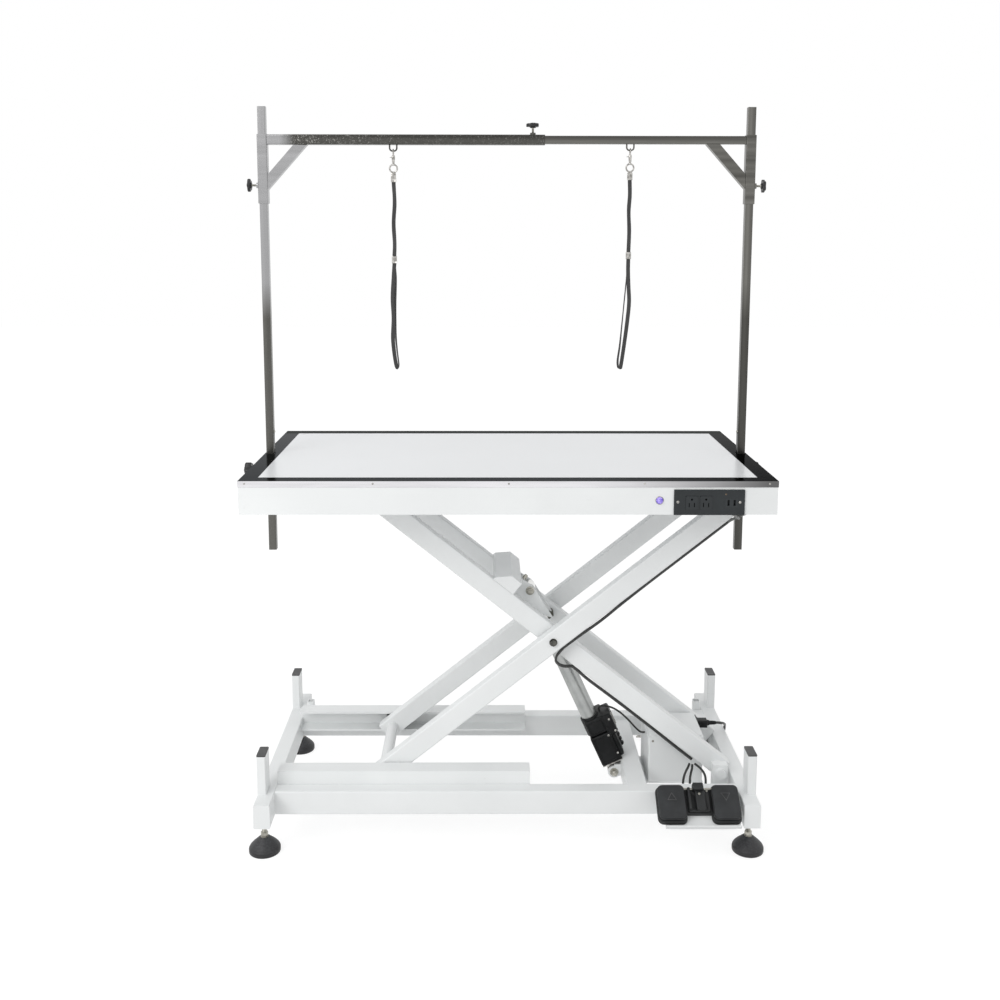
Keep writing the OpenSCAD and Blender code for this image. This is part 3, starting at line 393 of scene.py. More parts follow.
# The mains lead's route, in millimetres, as in the part's source
LEAD_ROUTE = [
    (572, 18, 211), (576.5, 18.2, 211), (586, 22, 208.5), (597, 38, 200), (606, 62, 186), (611.5, 84, 174),
    (615.2, 100, 163.5), (617, 112, 148), (618, 124, 124), (619, 134, 96), (622, 146, 60), (629, 160, 27),
    (640, 180, 7.5), (649, 205, 3.6), (654, 240, 3.6), (656, 280, 3.6), (654, 325, 3.6), (640, 358, 3.6),
    (614, 375, 3.6), (582, 380, 3.6), (556, 374, 3.6), (534, 363, 3.6), (520, 359.4, 3.6)]
LEAD_D = 7
COIL_X, COIL_Y, COIL_R, COIL_TURNS, COIL_Z = 506, 312, 31.2, 4, 3.6
COIL_STEP, COIL_RISE = LEAD_D + 0.8, LEAD_D + 0.6
COIL_OUT = COIL_R + COIL_STEP * COIL_TURNS / 2
COIL_BACK = COIL_Y + COIL_OUT + 1
PLUG_AT = (COIL_X - 46, COIL_BACK, 11)


def coil_point(loop):
    """A point of the coil after so many loops: inwards on the floor, then outwards on the layer above."""
    radius = COIL_R + COIL_STEP * abs(loop - COIL_TURNS / 2)
    angle = math.radians(90 + 360 * loop)
    k = min(max((loop - COIL_TURNS / 2 + 0.25) / 0.5, 0), 1)
    return (COIL_X + radius * math.cos(angle), COIL_Y + radius * math.sin(angle),
            COIL_Z + COIL_RISE * (3 * k * k - 2 * k ** 3))


def mains_route():
    upper = COIL_Z + COIL_RISE
    points = LEAD_ROUTE + [(COIL_X + LEAD_D, COIL_Y + COIL_OUT, COIL_Z)]
    points += [coil_point(i / 24) for i in range(24 * COIL_TURNS + 1)]
    points += [(COIL_X - 16, COIL_BACK - 0.4, upper), (COIL_X - 30, COIL_BACK, upper - 0.4),
               (COIL_X - 39, COIL_BACK, 11), PLUG_AT]
    return points


# The control leads' routes, in millimetres: on the arms in the arms' own directions, elsewhere in the room
LEAD_V = -ARM_H / 2 - 3.3
SECOND_LEAD = (0, 5.6, -4.4)
OUTER_LEAD = [(x, -161, z) for x, z in (
    (528, 0), (510, 0), (440, 0), (360, 0), (280, 0), (200, -1), (130, -3), (70, -1), (32, 0), (20, 0))]
INNER_LEAD = [(x, -127, z) for x, z in (
    (97, 0), (107, 0), (140, -2), (200, -1), (280, 0), (360, 0), (430, -1), (490, -1))]
BEND_LEAD = [
    (150.5, -161, 500.5), (144.2, -161, 495.5), (129.1, -159.6, 477), (125.7, -157, 467), (125.1, -153, 457),
    (133.1, -144, 444.5), (148.1, -135, 435.5), (168.8, -127, 432.2), (175, -127, 427.2)]
TABLE_LEADS = [
    [(505, -299, 892), (505, -292, 892), (511, -279, 882), (527, -259, 868), (545, -233, 854),
     (564.3, -197, 836.8), (566.3, -177, 832.8), (552.6, -161, 823.8), (546.3, -161, 818.8)],
    [(525, -299, 892), (525, -291, 892), (539, -275, 882), (561, -249, 866), (579, -221, 856),
     (584.3, -179, 842.8), (574.3, -159, 831.8), (552.6, -155.4, 819.4), (546.3, -155.4, 814.4)]]
BASE_LEADS = [
    [(474, -130, 168), (468, -142, 164), (459, -162, 163), (450, -184, 158), (445, -200, 146),
     (442, -209, 133), (442, -218, 133)],
    [(481, -132, 166), (478, -146, 163), (472, -164, 161), (466, -184, 156), (463, -200, 144),
     (460, -209, 133), (460, -218, 133)],
    [(488, -130, 168), (498, -142, 164), (505, -160, 160), (506, -180, 156), (503, -199, 145),
     (499, -209, 133), (499, -218, 133)]]
MOTOR_LEAD = [
    (250, -30, 268.3), (248, -30, 272.9), (249, -30, 277.5), (254, -30, 281), (263, -30, 281.5),
    (275, -30, 279), (290, -30, 273), (308, -31, 261), (328, -32, 242), (344, -32, 224), (355, -32, 213),
    (363, -32, 208), (372, -32, 208)]


# Materials

FINISHES = {}
# The two colour inputs of a Mix node
FIRST, OTHER = 6, 7
MIXED = {"data_type": "RGBA"}
TIMES = {"data_type": "RGBA", "blend_type": "MULTIPLY"}


def linear(code):
    """An sRGB hex colour as a linear colour with alpha."""
    parts = [int(code[i:i + 2], 16) / 255 for i in (1, 3, 5)]
    return (*(c / 12.92 if c <= 0.04045 else ((c + 0.055) / 1.055) ** 2.4 for c in parts), 1.0)


def dimmed(color, share=1):
    """A linear colour at a share of its strength, with alpha."""
    return (*[c * share for c in color[:3]], 1)


def add(tree, kind, inputs=None, stops=(), **settings):
    """Adds a node with its settings, values, links and the stops of its colour ramp. A node given as a value
    links its first output."""
    node = tree.nodes.new("ShaderNode" + kind)
    for key, value in settings.items():
        setattr(node, key, value)
    for i, (position, color) in enumerate(stops):
        node.color_ramp.elements[i].position, node.color_ramp.elements[i].color = position, color
    for key, value in (inputs or {}).items():
        if isinstance(value, bpy.types.Node):
            value = next(socket for socket in value.outputs if socket.enabled)
        if isinstance(value, bpy.types.NodeSocket):
            tree.links.new(value, node.inputs[key])
        else:
            node.inputs[key].default_value = value
    return node


def new_material(title):
    material = bpy.data.materials.new(title)
    material.use_nodes = True
    material.node_tree.nodes.clear()
    return material, material.node_tree


def shade(tree, color, gloss, uneven=None, relief=None, **values):
    """The surface shader and the material's output. Gloss is the roughness, or its two ends where a noise
    makes it uneven. Relief is the bump's height, its strength and its size in millimetres."""
    if uneven is not None:
        gloss = add(tree, "MapRange", {"Value": uneven, "To Min": gloss[0], "To Max": gloss[1]})
    inputs = {"Base Color": color, "Roughness": gloss, **values}
    if relief is not None:
        height, strength, size = relief
        inputs["Normal"] = add(tree, "Bump", {"Height": height, "Strength": strength, "Distance": size * MM})
    add(tree, "OutputMaterial", {"Surface": add(tree, "BsdfPrincipled", inputs)})


def powder_coat(looks):
    """Polyester powder coat on welded steel: a satin white with the faint ripple that baked powder has, and
    sparse grey scuffs."""
    material, tree = new_material("powder coat")
    where = add(tree, "TexCoord").outputs["Object"]
    ripple = add(tree, "TexNoise", {"Vector": where, "Scale": 420.0, "Detail": 2.0})
    cloud = add(tree, "TexNoise", {"Vector": where, "Scale": 5.0, "Detail": 3.0})
    scuff_place = add(tree, "Mapping", {"Vector": where, "Scale": (26.0, 26.0, 90.0)})
    scuff = add(tree, "TexNoise", {"Vector": scuff_place, "Scale": 1.0, "Detail": 5.0, "Roughness": 0.7})
    body = add(tree, "ValToRGB", {"Fac": cloud},
               ((0.35, dimmed(looks.coat, 0.955)), (0.65, dimmed(looks.coat))))
    sparse = add(tree, "MapRange", {"Value": scuff, "From Min": 0.66, "From Max": 0.80, "To Min": 0.0,
                                    "To Max": 0.35})
    marks = add(tree, "Mix", {"Factor": sparse, FIRST: body, OTHER: linear("#C9CBC8")}, **MIXED)
    shade(tree, marks, (0.34, 0.46), cloud, (ripple, 0.25, 0.15), IOR=1.5)
    return material


# Heights in metres between which the posts go from dark to bright: a painted reflection of the wall behind
DARK_BELOW, BRIGHT_ABOVE = 1.31, 1.40
# Where the painted reflection of the bright wall ends on the left, and how far the brace under the bar moves
# that end
WALL_FROM, WALL_TO, BRACE_MOVE = -0.53, -0.565, -0.12
# Where the water spots get fewer, to the right
SPOTS_FROM, SPOTS_TO = -0.5, -0.25


def polished_steel(looks, along, title, speckle):
    """Polished stainless tube: fine drawing lines along it, pale water spots, and a painted reflection of the
    room in its colour: the bright wall at its upper left, the dim floor below, with a painted mottle of
    coarse bands."""
    material, tree = new_material(title)
    where = add(tree, "TexCoord").outputs["Object"]
    axes = add(tree, "SeparateXYZ", {"Vector": where}).outputs

    def drawn_out(fine, coarse):
        """Noise coordinates stretched along the tube."""
        scale = {"X": (coarse, fine, fine), "Z": (fine, fine, coarse)}[along]
        return add(tree, "Mapping", {"Vector": where, "Scale": scale})

    # Painted reflection: the colour turns from dark to the bright wall above these heights
    upper = add(tree, "MapRange", {"Value": axes["Z"], "From Min": DARK_BELOW, "From Max": BRIGHT_ABOVE})
    # Painted reflection: the bright wall shows only toward the tubes' left, and under the bar the brace moves
    # where it ends
    under_bar = add(tree, "MapRange", {"Value": axes["Z"], "From Min": BAR_LOW, "From Max": BAR_LOW - 0.004,
                                       "To Min": 0.0, "To Max": BRACE_MOVE})
    along_bar = add(tree, "Math", {0: axes["X"], 1: under_bar}, operation="ADD")
    left = add(tree, "MapRange", {"Value": along_bar, "From Min": WALL_FROM, "From Max": WALL_TO})
    lines = add(tree, "TexNoise", {"Vector": drawn_out(120.0, 5.0), "Scale": 3.0, "Detail": 4.0,
                                   "Roughness": 0.65})
    blotch = add(tree, "TexNoise", {"Vector": where, "Scale": 300.0, "Detail": 4.0, "Roughness": 0.7})
    steel = dimmed(looks.steel, 1 - 0.55 * speckle)
    # Painted reflection of the dim floor: the steel is darker below the painted wall, less so toward the left
    low = add(tree, "Mix", {"Factor": left, FIRST: dimmed(steel, 0.5), OTHER: dimmed(steel, 0.95)}, **MIXED)
    body = add(tree, "Mix", {"Factor": upper, FIRST: low, OTHER: steel}, **MIXED)
    # Painted reflection of the bright wall: pale steel where the tube is high and on the left
    bright = add(tree, "Math", {0: upper, 1: left}, operation="MULTIPLY")
    body = add(tree, "Mix", {"Factor": bright, FIRST: body, OTHER: dimmed(looks.painted_reflection_steel)}, **MIXED)

    # The drawing lines and the painted mottle fade where the painted reflection is bright
    depth = add(tree, "MapRange", {"Value": bright, "To Min": 1.0, "To Max": 0.25})
    drawn = add(tree, "MapRange", {"Value": lines, "To Min": 0.82, "To Max": 1.18})
    tone = add(tree, "Mix", {"Factor": depth, FIRST: body, OTHER: drawn}, **TIMES)
    # Painted mottled reflection: coarse bands along the tube darken and lighten its colour
    bands = add(tree, "TexNoise", {"Vector": drawn_out(70.0, 0.5), "Scale": 1.0, "Detail": 1.0})
    painted_mottle = add(tree, "MapRange", {"Value": bands, "To Min": 0.3, "To Max": 1.7})
    tone = add(tree, "Mix", {"Factor": depth, FIRST: tone, OTHER: painted_mottle}, **TIMES)

    spots = add(tree, "MapRange", {"Value": blotch, "From Min": 0.55, "From Max": 0.66, "To Min": 0.0,
                                   "To Max": speckle})
    # No water spots where the painted reflection is bright
    clear = add(tree, "Math", {0: 1.0, 1: bright}, operation="SUBTRACT")
    spots = add(tree, "Math", {0: spots, 1: clear}, operation="MULTIPLY")
    fewer = add(tree, "MapRange", {"Value": axes["X"], "From Min": SPOTS_FROM, "From Max": SPOTS_TO,
                                   "To Min": 1.0, "To Max": 0.3})
    spots = add(tree, "Math", {0: spots, 1: fewer}, operation="MULTIPLY")
    color = add(tree, "Mix", {"Factor": spots, FIRST: tone, OTHER: linear("#C4C3BE")}, **MIXED)
    shade(tree, color, (0.24, 0.3), lines, (lines, 0.04, 0.2), Metallic=1.0)
    return material


# Where the border's back begins, which changes its painted reflection, and where the painted reflection on
# its right end fades to grey, in metres
BACK_FROM, BACK_TO = 0.27, 0.30
RIGHT_FROM, RIGHT_TO = 0.2, 0.6


def border_steel(looks):
    """Mirror polished border with painted reflections in its colour: its flat top a painted reflection of the
    dark room, paler at the back, and its upright side a painted reflection of the bright floor, which ends at
    the right."""
    material, tree = new_material("mirror polished border")
    where = add(tree, "TexCoord").outputs
    upright = add(tree, "SeparateXYZ", {"Vector": where["Normal"]}).outputs["Z"]
    axes = add(tree, "SeparateXYZ", {"Vector": where["Object"]}).outputs
    back = add(tree, "MapRange", {"Value": axes["Y"], "From Min": BACK_FROM, "From Max": BACK_TO})
    right = add(tree, "MapRange", {"Value": axes["X"], "From Min": RIGHT_FROM, "From Max": RIGHT_TO})
    streak_place = add(tree, "Mapping", {"Vector": where["Object"], "Scale": (4.0, 30.0, 60.0)})
    streak = add(tree, "TexNoise", {"Vector": streak_place, "Scale": 1.6, "Detail": 4.0})
    # Painted reflection: the upright side pale from the bright floor, fading to grey at the right end, and
    # the flat top dark from the room
    side = add(tree, "Mix", {"Factor": right, FIRST: linear("#E2E1E4"), OTHER: linear("#6A6A6A")}, **MIXED)
    body = add(tree, "Mix", {"Factor": upright, FIRST: side, OTHER: linear("#3A3B3C")}, clamp_factor=True,
               **MIXED)
    streaked = add(tree, "MapRange", {"Value": streak, "To Min": 0.8, "To Max": 1.2})
    color = add(tree, "Mix", {"Factor": 1.0, FIRST: body, OTHER: streaked}, **TIMES)
    # Painted reflection held in the specular tint of the flat top, changing toward the right end and at the
    # back
    edge = add(tree, "Mix", {"Factor": right, FIRST: linear("#A6A7A8"), OTHER: linear("#909090")}, **MIXED)
    edge = add(tree, "Mix", {"Factor": back, FIRST: edge, OTHER: linear("#8A8C8A")}, **MIXED)
    painted_reflection_tint = add(tree, "Mix", {"Factor": upright, FIRST: (1, 1, 1, 1), OTHER: edge}, clamp_factor=True, **MIXED)
    shade(tree, color, (0.1, 0.16), streak, **{"Metallic": 1.0, "Specular Tint": painted_reflection_tint})
    return material


def opal_acrylic(looks):
    """Extruded opal acrylic: milky white with a soft gloss and a hair of grain from its diffusing filler."""
    material, tree = new_material("opal acrylic")
    where = add(tree, "TexCoord").outputs["Object"]
    cloud = add(tree, "TexNoise", {"Vector": where, "Scale": 1.6, "Detail": 2.0})
    grain = add(tree, "TexNoise", {"Vector": where, "Scale": 900.0, "Detail": 1.0})
    color = add(tree, "ValToRGB", {"Fac": cloud},
                ((0.35, dimmed(looks.panel, 0.96)), (0.65, dimmed(looks.panel))))
    shade(tree, color, (0.22, 0.3), cloud, (grain, 0.08, 0.1), IOR=1.49)
    return material


def moulded(title, dark, light, grain, depth, rough, ior=1.48):
    """Moulded plastic: the tool's spark-eroded grain, with paler rubbed places. Grain is its size and depth
    its height, in millimetres."""
    material, tree = new_material(title)
    where = add(tree, "TexCoord").outputs["Object"]
    grit = add(tree, "TexNoise", {"Vector": where, "Scale": 1 / (grain * MM), "Detail": 2.0})
    rubbed = add(tree, "TexNoise", {"Vector": where, "Scale": 28.0, "Detail": 5.0, "Roughness": 0.6})
    color = add(tree, "ValToRGB", {"Fac": rubbed}, ((0.4, linear(dark)), (0.75, linear(light))))
    shade(tree, color, (rough - 0.06, rough + 0.08), rubbed, (grit, 0.5, depth), IOR=ior)
    return material


def rubber(title, dark, light):
    """Moulded rubber: nearly black, dull, paler in specks where it faces up."""
    material, tree = new_material(title)
    where = add(tree, "TexCoord").outputs
    level = add(tree, "SeparateXYZ", {"Vector": where["Normal"]}).outputs["Z"]
    speck = add(tree, "TexNoise", {"Vector": where["Object"], "Scale": 240.0, "Detail": 4.0})
    # Paler in specks on the faces that point up
    up_facing_specks = add(tree, "Math", {0: level, 1: speck}, operation="MULTIPLY")
    color = add(tree, "ValToRGB", {"Fac": up_facing_specks}, ((0.15, linear(dark)), (0.75, linear(light))))
    shade(tree, color, (0.42, 0.6), speck, (speck, 0.25, 0.3), IOR=1.52)
    return material


def plated(title, dark, light, rough, scale=60.0):
    """Plated or drawn metal: a bright skin with cloudy tone where the bath or the die left it."""
    material, tree = new_material(title)
    where = add(tree, "TexCoord").outputs["Object"]
    cloud = add(tree, "TexNoise", {"Vector": where, "Scale": scale, "Detail": 4.0, "Roughness": 0.6})
    color = add(tree, "ValToRGB", {"Fac": cloud}, ((0.35, linear(dark)), (0.7, linear(light))))
    shade(tree, color, (rough * 0.8, rough * 1.3), cloud, (cloud, 0.08, 0.3), Metallic=1.0)
    return material


def cable_jacket(title, dark, light):
    """Extruded vinyl jacket: satin black with faint bands round it, read from the UV map along the lead."""
    material, tree = new_material(title)
    along = add(tree, "Mapping", {"Vector": add(tree, "UVMap"), "Scale": (30.0, 400.0, 1.0)})
    bands = add(tree, "TexNoise", {"Vector": along, "Scale": 1.0, "Detail": 3.0})
    color = add(tree, "ValToRGB", {"Fac": bands}, ((0.35, linear(dark)), (0.75, linear(light))))
    shade(tree, color, (0.36, 0.5), bands, (bands, 0.15, 0.3), IOR=1.53)
    return material


# Spacing of the tape's picks in millimetres, and the length of a Wave texture's cycle at scale 1
PICK, WAVE_CYCLE = 2.6, 2 * math.pi / 20


def webbing():
    """Woven nylon tape: diagonal picks, drawn coarser than the real ones so that they show."""
    material, tree = new_material("woven nylon tape")
    where = add(tree, "UVMap")
    picks = []
    for lean in (0.7, -0.7):
        leaned = add(tree, "Mapping", {"Vector": where, "Rotation": (0.0, 0.0, lean)})
        wave = add(tree, "TexWave", {"Vector": leaned, "Scale": WAVE_CYCLE / (PICK * MM), "Distortion": 0.6},
                   bands_direction="Y")
        picks.append(wave.outputs["Fac"])
    weave = add(tree, "Math", {0: picks[0], 1: picks[1]}, operation="MAXIMUM")
    color = add(tree, "ValToRGB", {"Fac": weave}, ((0.3, linear("#141414")), (1.0, linear("#454545"))))
    shade(tree, color, 0.7, relief=(weave, 0.7, 0.5), **{"Sheen Weight": 0.25, "Sheen Roughness": 0.5})
    return material


def lit_lens(title, inner, outer, strength):
    """A small lens with a lamp behind it: the middle glows, the edge keeps the plastic's colour."""
    material, tree = new_material(title)
    where = add(tree, "TexCoord").outputs["Object"]
    cloud = add(tree, "TexNoise", {"Vector": where, "Scale": 220.0, "Detail": 1.0})
    color = add(tree, "ValToRGB", {"Fac": cloud}, ((0.35, linear(inner)), (0.6, linear(outer))))
    shade(tree, color, 0.2, **{"Emission Color": color, "Emission Strength": strength, "IOR": 1.49})
    return material


def make_finishes(looks):
    """Every finish, as its material and the record's slot for it."""
    FINISHES.update({
        "coat": (powder_coat(looks), "white_coat"),
        "post": (polished_steel(looks, "Z", "polished stainless post", 0.1), "polished_steel"),
        "bar": (polished_steel(looks, "X", "spotted stainless bar", 0.85), "polished_steel"),
        "inner": (polished_steel(looks, "X", "polished stainless bar", 0.06), "polished_steel"),
        "border": (border_steel(looks), "border_steel"),
        "panel": (opal_acrylic(looks), "lit_panel"),
        "black": (moulded("moulded black plastic", "#0E0F10", "#1B1C1D", 0.7, 0.08, 0.42, 1.32),
                  "black_plastic"),
        "knob": (moulded("moulded knob plastic", "#18191A", "#303132", 0.9, 0.1, 0.36), "black_plastic"),
        "cap": (moulded("moulded grey cap", "#3E3E3F", "#565656", 1.0, 0.1, 0.5), "grey_plastic"),
        "face": (moulded("smooth dark panel", "#171D20", "#1F2528", 1.4, 0.03, 0.34), "panel_plastic"),
        "outlet": (moulded("outlet insert", "#1C2124", "#262B2E", 1.2, 0.03, 0.34), "black_plastic"),
        "pedal": (moulded("textured pedal cover", "#1D1F21", "#2C2E30", 1.6, 0.3, 0.52), "pedal_plastic"),
        "treadle": (moulded("pedal housing", "#131516", "#222425", 1.2, 0.15, 0.5), "black_plastic"),
        "rubber": (rubber("moulded rubber foot", "#1B1B1D", "#47484B"), "foot_rubber"),
        "nylon": (moulded("turned nylon", "#151515", "#232323", 1.0, 0.05, 0.4), "roller_nylon"),
        "tube": (plated("anodised aluminium tube", "#A9ABAA", "#C0C2C0", 0.36, 14.0), "actuator_metal"),
        "rod": (plated("ground chrome rod", "#CFCFCD", "#E6E6E4", 0.14), "rod_metal"),
        "zinc": (plated("zinc plate", "#8E8C84", "#C9C7BE", 0.32), "zinc"),
        "bolt": (plated("oiled black oxide", "#4A4A48", "#77766F", 0.38), "zinc"),
        "nickel": (plated("nickel plate", "#8C8A86", "#D8D6D2", 0.18, 160.0), "nickel"),
        "jacket": (cable_jacket("vinyl cable jacket", "#191A19", "#333432"), "cable_jacket"),
        "grey_jacket": (cable_jacket("grey cable jacket", "#4B4D4C", "#7C7E7C"), "cable_jacket"),
        "web": (webbing(), "strap_web"),
        "amber": (lit_lens("amber lamp", "#6E5A44", "#4C3C2C", 0.03), None),
        "lens": (lit_lens("lit violet lens", "#5B48B8", "#B9A8F2", 0.25), "button_violet"),
    })


# Which finish each of the part's nodes takes
NODE_FINISHES = {
    "coat": "long_rails side_frames cross_beam lower_tracks pivot_brackets actuator_bracket control_box "
            "pedal_tray inner_arms lever_bracket outer_arms spreader_tube apron under_frame upper_tracks",
    "post": "left_post right_post",
    "bar": "outer_bar",
    "inner": "inner_bar",
    "border": "top_trim",
    "panel": "top_panel",
    "cap": "post_caps",
    "black": "box_connectors iec_plug mains_plug gear_housing",
    "knob": "clamp_knob_left clamp_knob_right top_knob left_knob right_knob",
    "face": "outlet_panel",
    "outlet": "sockets",
    "treadle": "pedal_base",
    "pedal": "pedal_up pedal_down",
    "rubber": "foot_front_left foot_front_right foot_back_left foot_back_right",
    "nylon": "lower_roller_front lower_roller_back upper_roller_front upper_roller_back",
    "tube": "actuator_tubes",
    "rod": "actuator_rod",
    "bolt": "pivot_bolts",
    "nickel": "snap_left snap_right",
    "web": "strap_left strap_right",
    "lens": "power_button",
    "jacket": "base_cables motor_cable power_cord power_cord_coil inner_arm_cable outer_arm_cable cable_bend "
              "table_leads",
}


class GroomingLooks(bpy.types.PropertyGroup):
    coat: FloatVectorProperty(name="Powder coat", description="Colour of the painted steel", subtype="COLOR",
                              default=linear("#EDEFEF")[:3], min=0, max=1)
    steel: FloatVectorProperty(name="Polished steel", description="Colour of the posts and the overhead bar",
                               subtype="COLOR", default=linear("#6B6A66")[:3], min=0, max=1)
    # The colour of the painted reflection of the bright wall on the posts and bar
    painted_reflection_steel: FloatVectorProperty(name="Bright steel", subtype="COLOR",
                                      description="Colour of the steel that mirrors the bright wall",
                                      default=linear("#A6A6A7")[:3], min=0, max=1)
    panel: FloatVectorProperty(name="Light panel", description="Colour of the opal panel", subtype="COLOR",
                               default=linear("#E6E8EA")[:3], min=0, max=1)


class GroomingSizes(bpy.types.PropertyGroup):
    lead_d: FloatProperty(name="Mains lead", description="Diameter of the mains lead", unit="LENGTH",
                          default=0.007)
    control_d: FloatProperty(name="Control lead", description="Diameter of a control lead", unit="LENGTH",
                             default=0.006)
    strap_w: FloatProperty(name="Strap width", description="Width of a noose's strap", unit="LENGTH",
                           default=0.010)
    strap_t: FloatProperty(name="Strap thickness", description="Thickness of a noose's strap", unit="LENGTH",
                           default=0.003)
    foot_r: FloatProperty(name="Foot radius", description="Radius of a foot's rubber cone", unit="LENGTH",
                          default=0.039)
    ambient: FloatProperty(name="Ambient light", description="Strength of the light from all round",
                           default=0.78)
    key_power: FloatProperty(name="Key light", description="Power of the large soft lamp", subtype="POWER",
                             default=54)


# The camera solved from the photograph: its place in millimetres, its angles in radians and its lens
CAMERA_AT = (-51.9, -2797.9, 1525.2)
PITCH, YAW, ROLL = 0.1385, 0.0052, 0.0012
SENSOR, FOCAL_SHARE, LENS_SHIFT = 36, 1.09647, (0.0084, -0.1141)
WHITE = (1, 1, 1, 1)


def shows_white(tree):
    """1 for the rays that see the white background: the camera's, and those off metal or through glass."""
    rays = add(tree, "LightPath").outputs
    seen = add(tree, "Math", {0: rays["Is Camera Ray"], 1: rays["Is Glossy Ray"]}, operation="MAXIMUM")
    return add(tree, "Math", {0: seen, 1: rays["Is Transmission Ray"]}, operation="MAXIMUM")


class OBJECT_OT_grooming_stage(bpy.types.Operator):
    """Floor, soft lamps and a camera at the photograph's place"""

    bl_idname = "object.grooming_stage"
    bl_label = "Stage and camera"

    def execute(self, context):
        sizes = context.scene.grooming_sizes
        floor = primitive("studio_floor", "plane", size=30, location=(0, 0, 0))
        material, tree = new_material("white studio floor")
        paper = add(tree, "BsdfDiffuse", {"Color": (0.8, 0.8, 0.8, 1)})
        shadow = add(tree, "BsdfDiffuse", {"Color": (0.3, 0.3, 0.3, 1)})
        glow = add(tree, "Emission", {"Color": WHITE, "Strength": 0.8})
        shown = add(tree, "AddShader", {0: shadow, 1: glow})
        mix = add(tree, "MixShader", {0: shows_white(tree), 1: paper, 2: shown})
        add(tree, "OutputMaterial", {"Surface": mix})
        floor.data.materials.append(material)

        world = bpy.data.worlds.new("white room")
        context.scene.world = world
        world.use_nodes = True
        tree = world.node_tree
        tree.nodes.clear()
        level = add(tree, "MapRange", {"Value": shows_white(tree), "To Min": sizes.ambient, "To Max": 1.0})
        sky = add(tree, "Background", {"Color": WHITE, "Strength": level})
        add(tree, "OutputWorld", {"Surface": sky})

        for name, spot, aim, width, power in (
                ("key_lamp", (-2.6, -3.0, 3.6), (0, 0, 0.7), 2.6, sizes.key_power),
                ("left_lamp", (-1.9, -2.3, 1.5), (-0.4, 0, 0.8), 1.2, sizes.key_power * 0.22)):
            lamp = bpy.data.lights.new(name, "AREA")
            lamp.shape, lamp.size, lamp.size_y, lamp.energy = "RECTANGLE", width, width, power
            holder = bpy.data.objects.new(name, lamp)
            context.scene.collection.objects.link(holder)
            holder.matrix_world = facing(Vector(spot), Vector(spot) - Vector(aim))
            holder.visible_glossy = name != "left_lamp"

        ahead = Vector((math.sin(YAW) * math.cos(PITCH), math.cos(YAW) * math.cos(PITCH), -math.sin(PITCH)))
        level_right = Vector((math.cos(YAW), -math.sin(YAW), 0))
        above = level_right.cross(ahead)
        across = math.cos(ROLL) * level_right + math.sin(ROLL) * above
        upward = math.cos(ROLL) * above - math.sin(ROLL) * level_right
        camera = bpy.data.objects.new("camera", bpy.data.cameras.new("camera"))
        context.scene.collection.objects.link(camera)
        turn = Matrix((across, upward, -ahead)).transposed().to_4x4()
        camera.matrix_world = Matrix.Translation(at(*CAMERA_AT)) @ turn
        camera.data.sensor_width = SENSOR
        camera.data.lens = FOCAL_SHARE * SENSOR
        camera.data.shift_x, camera.data.shift_y = LENS_SHIFT
        camera.data.clip_end = 100
        context.scene.camera = camera
        context.scene.view_settings.view_transform = "Standard"
        return {"FINISHED"}


class OBJECT_OT_grooming_finishes(bpy.types.Operator):
    """Materials, and the finish of each of the frame's own nodes"""

    bl_idname = "object.grooming_finishes"
    bl_label = "Finishes"

    def execute(self, context):
        make_finishes(context.scene.grooming_looks)
        for finish, names in NODE_FINISHES.items():
            for name in names.split():
                slots = NODES[name].data.materials
                slots.clear()
                slots.append(FINISHES[finish][0])
        return {"FINISHED"}


class OBJECT_OT_grooming_mains_lead(bpy.types.Operator):
    """The mains lead with its coil and both plugs"""

    bl_idname = "object.grooming_mains_lead"
    bl_label = "Mains lead"

    def execute(self, context):
        sizes = context.scene.grooming_sizes
        path = smooth_path(mains_route(), MAINS_SPACING)
        lead = swept("mains_lead", path, round_section(sizes.lead_d / 2), UP)
        settle(lead, "base", "jacket", 60, ("power_cord", "power_cord_coil"))

        body = plate("appliance_plug_body", centred(0, 0, 13, 10, 4), 0, 26, 1.6, 3)
        nose = turned("appliance_plug_nose", [(8, 25), (7.6, 30), (5.6, 34), (5.2, 37), (5.6, 38), (5.0, 41),
                                              (5.4, 42), (4.7, 46), (5.0, 47), (4.2, 51)], 20)
        plug = joined("appliance_plug", [body, nose])
        place(plug, facing(at(BOX_X + 4, INLET_Y, INLET_Z), RIGHT))
        settle(plug, "base", "black", stands_for=("iec_plug",))

        body = plate("mains_plug_body", centred(0, 0, 13, 10, 5), 8, 36, 2.0, 3)
        relief = turned("mains_plug_relief", [(3.9, -14), (4.6, -8), (4.2, -7), (5.4, -2), (4.9, -1),
                                              (6.2, 4), (6.2, 9)], 20)
        blades = [plate("blade", rounded(-0.8 + x, -3.2, 0.8 + x, 3.2, 0.6, 2), 35, 53, 0.3, 1)
                  for x in (-6.4, 6.4)]
        pin = turned("earth_pin", [(2.4, 35), (2.4, 53), (1.6, 55)], 16)
        place(pin, shift(0, -5, 0))
        plug = joined("mains_plug_moulding", [body, relief])
        contacts = joined("mains_plug_contacts", blades + [pin])
        for piece, finish, stands_for in ((plug, "black", ("mains_plug",)), (contacts, "nickel", ())):
            place(piece, facing(at(*PLUG_AT), -RIGHT))
            settle(piece, "base", finish, stands_for=stands_for)
        return {"FINISHED"}


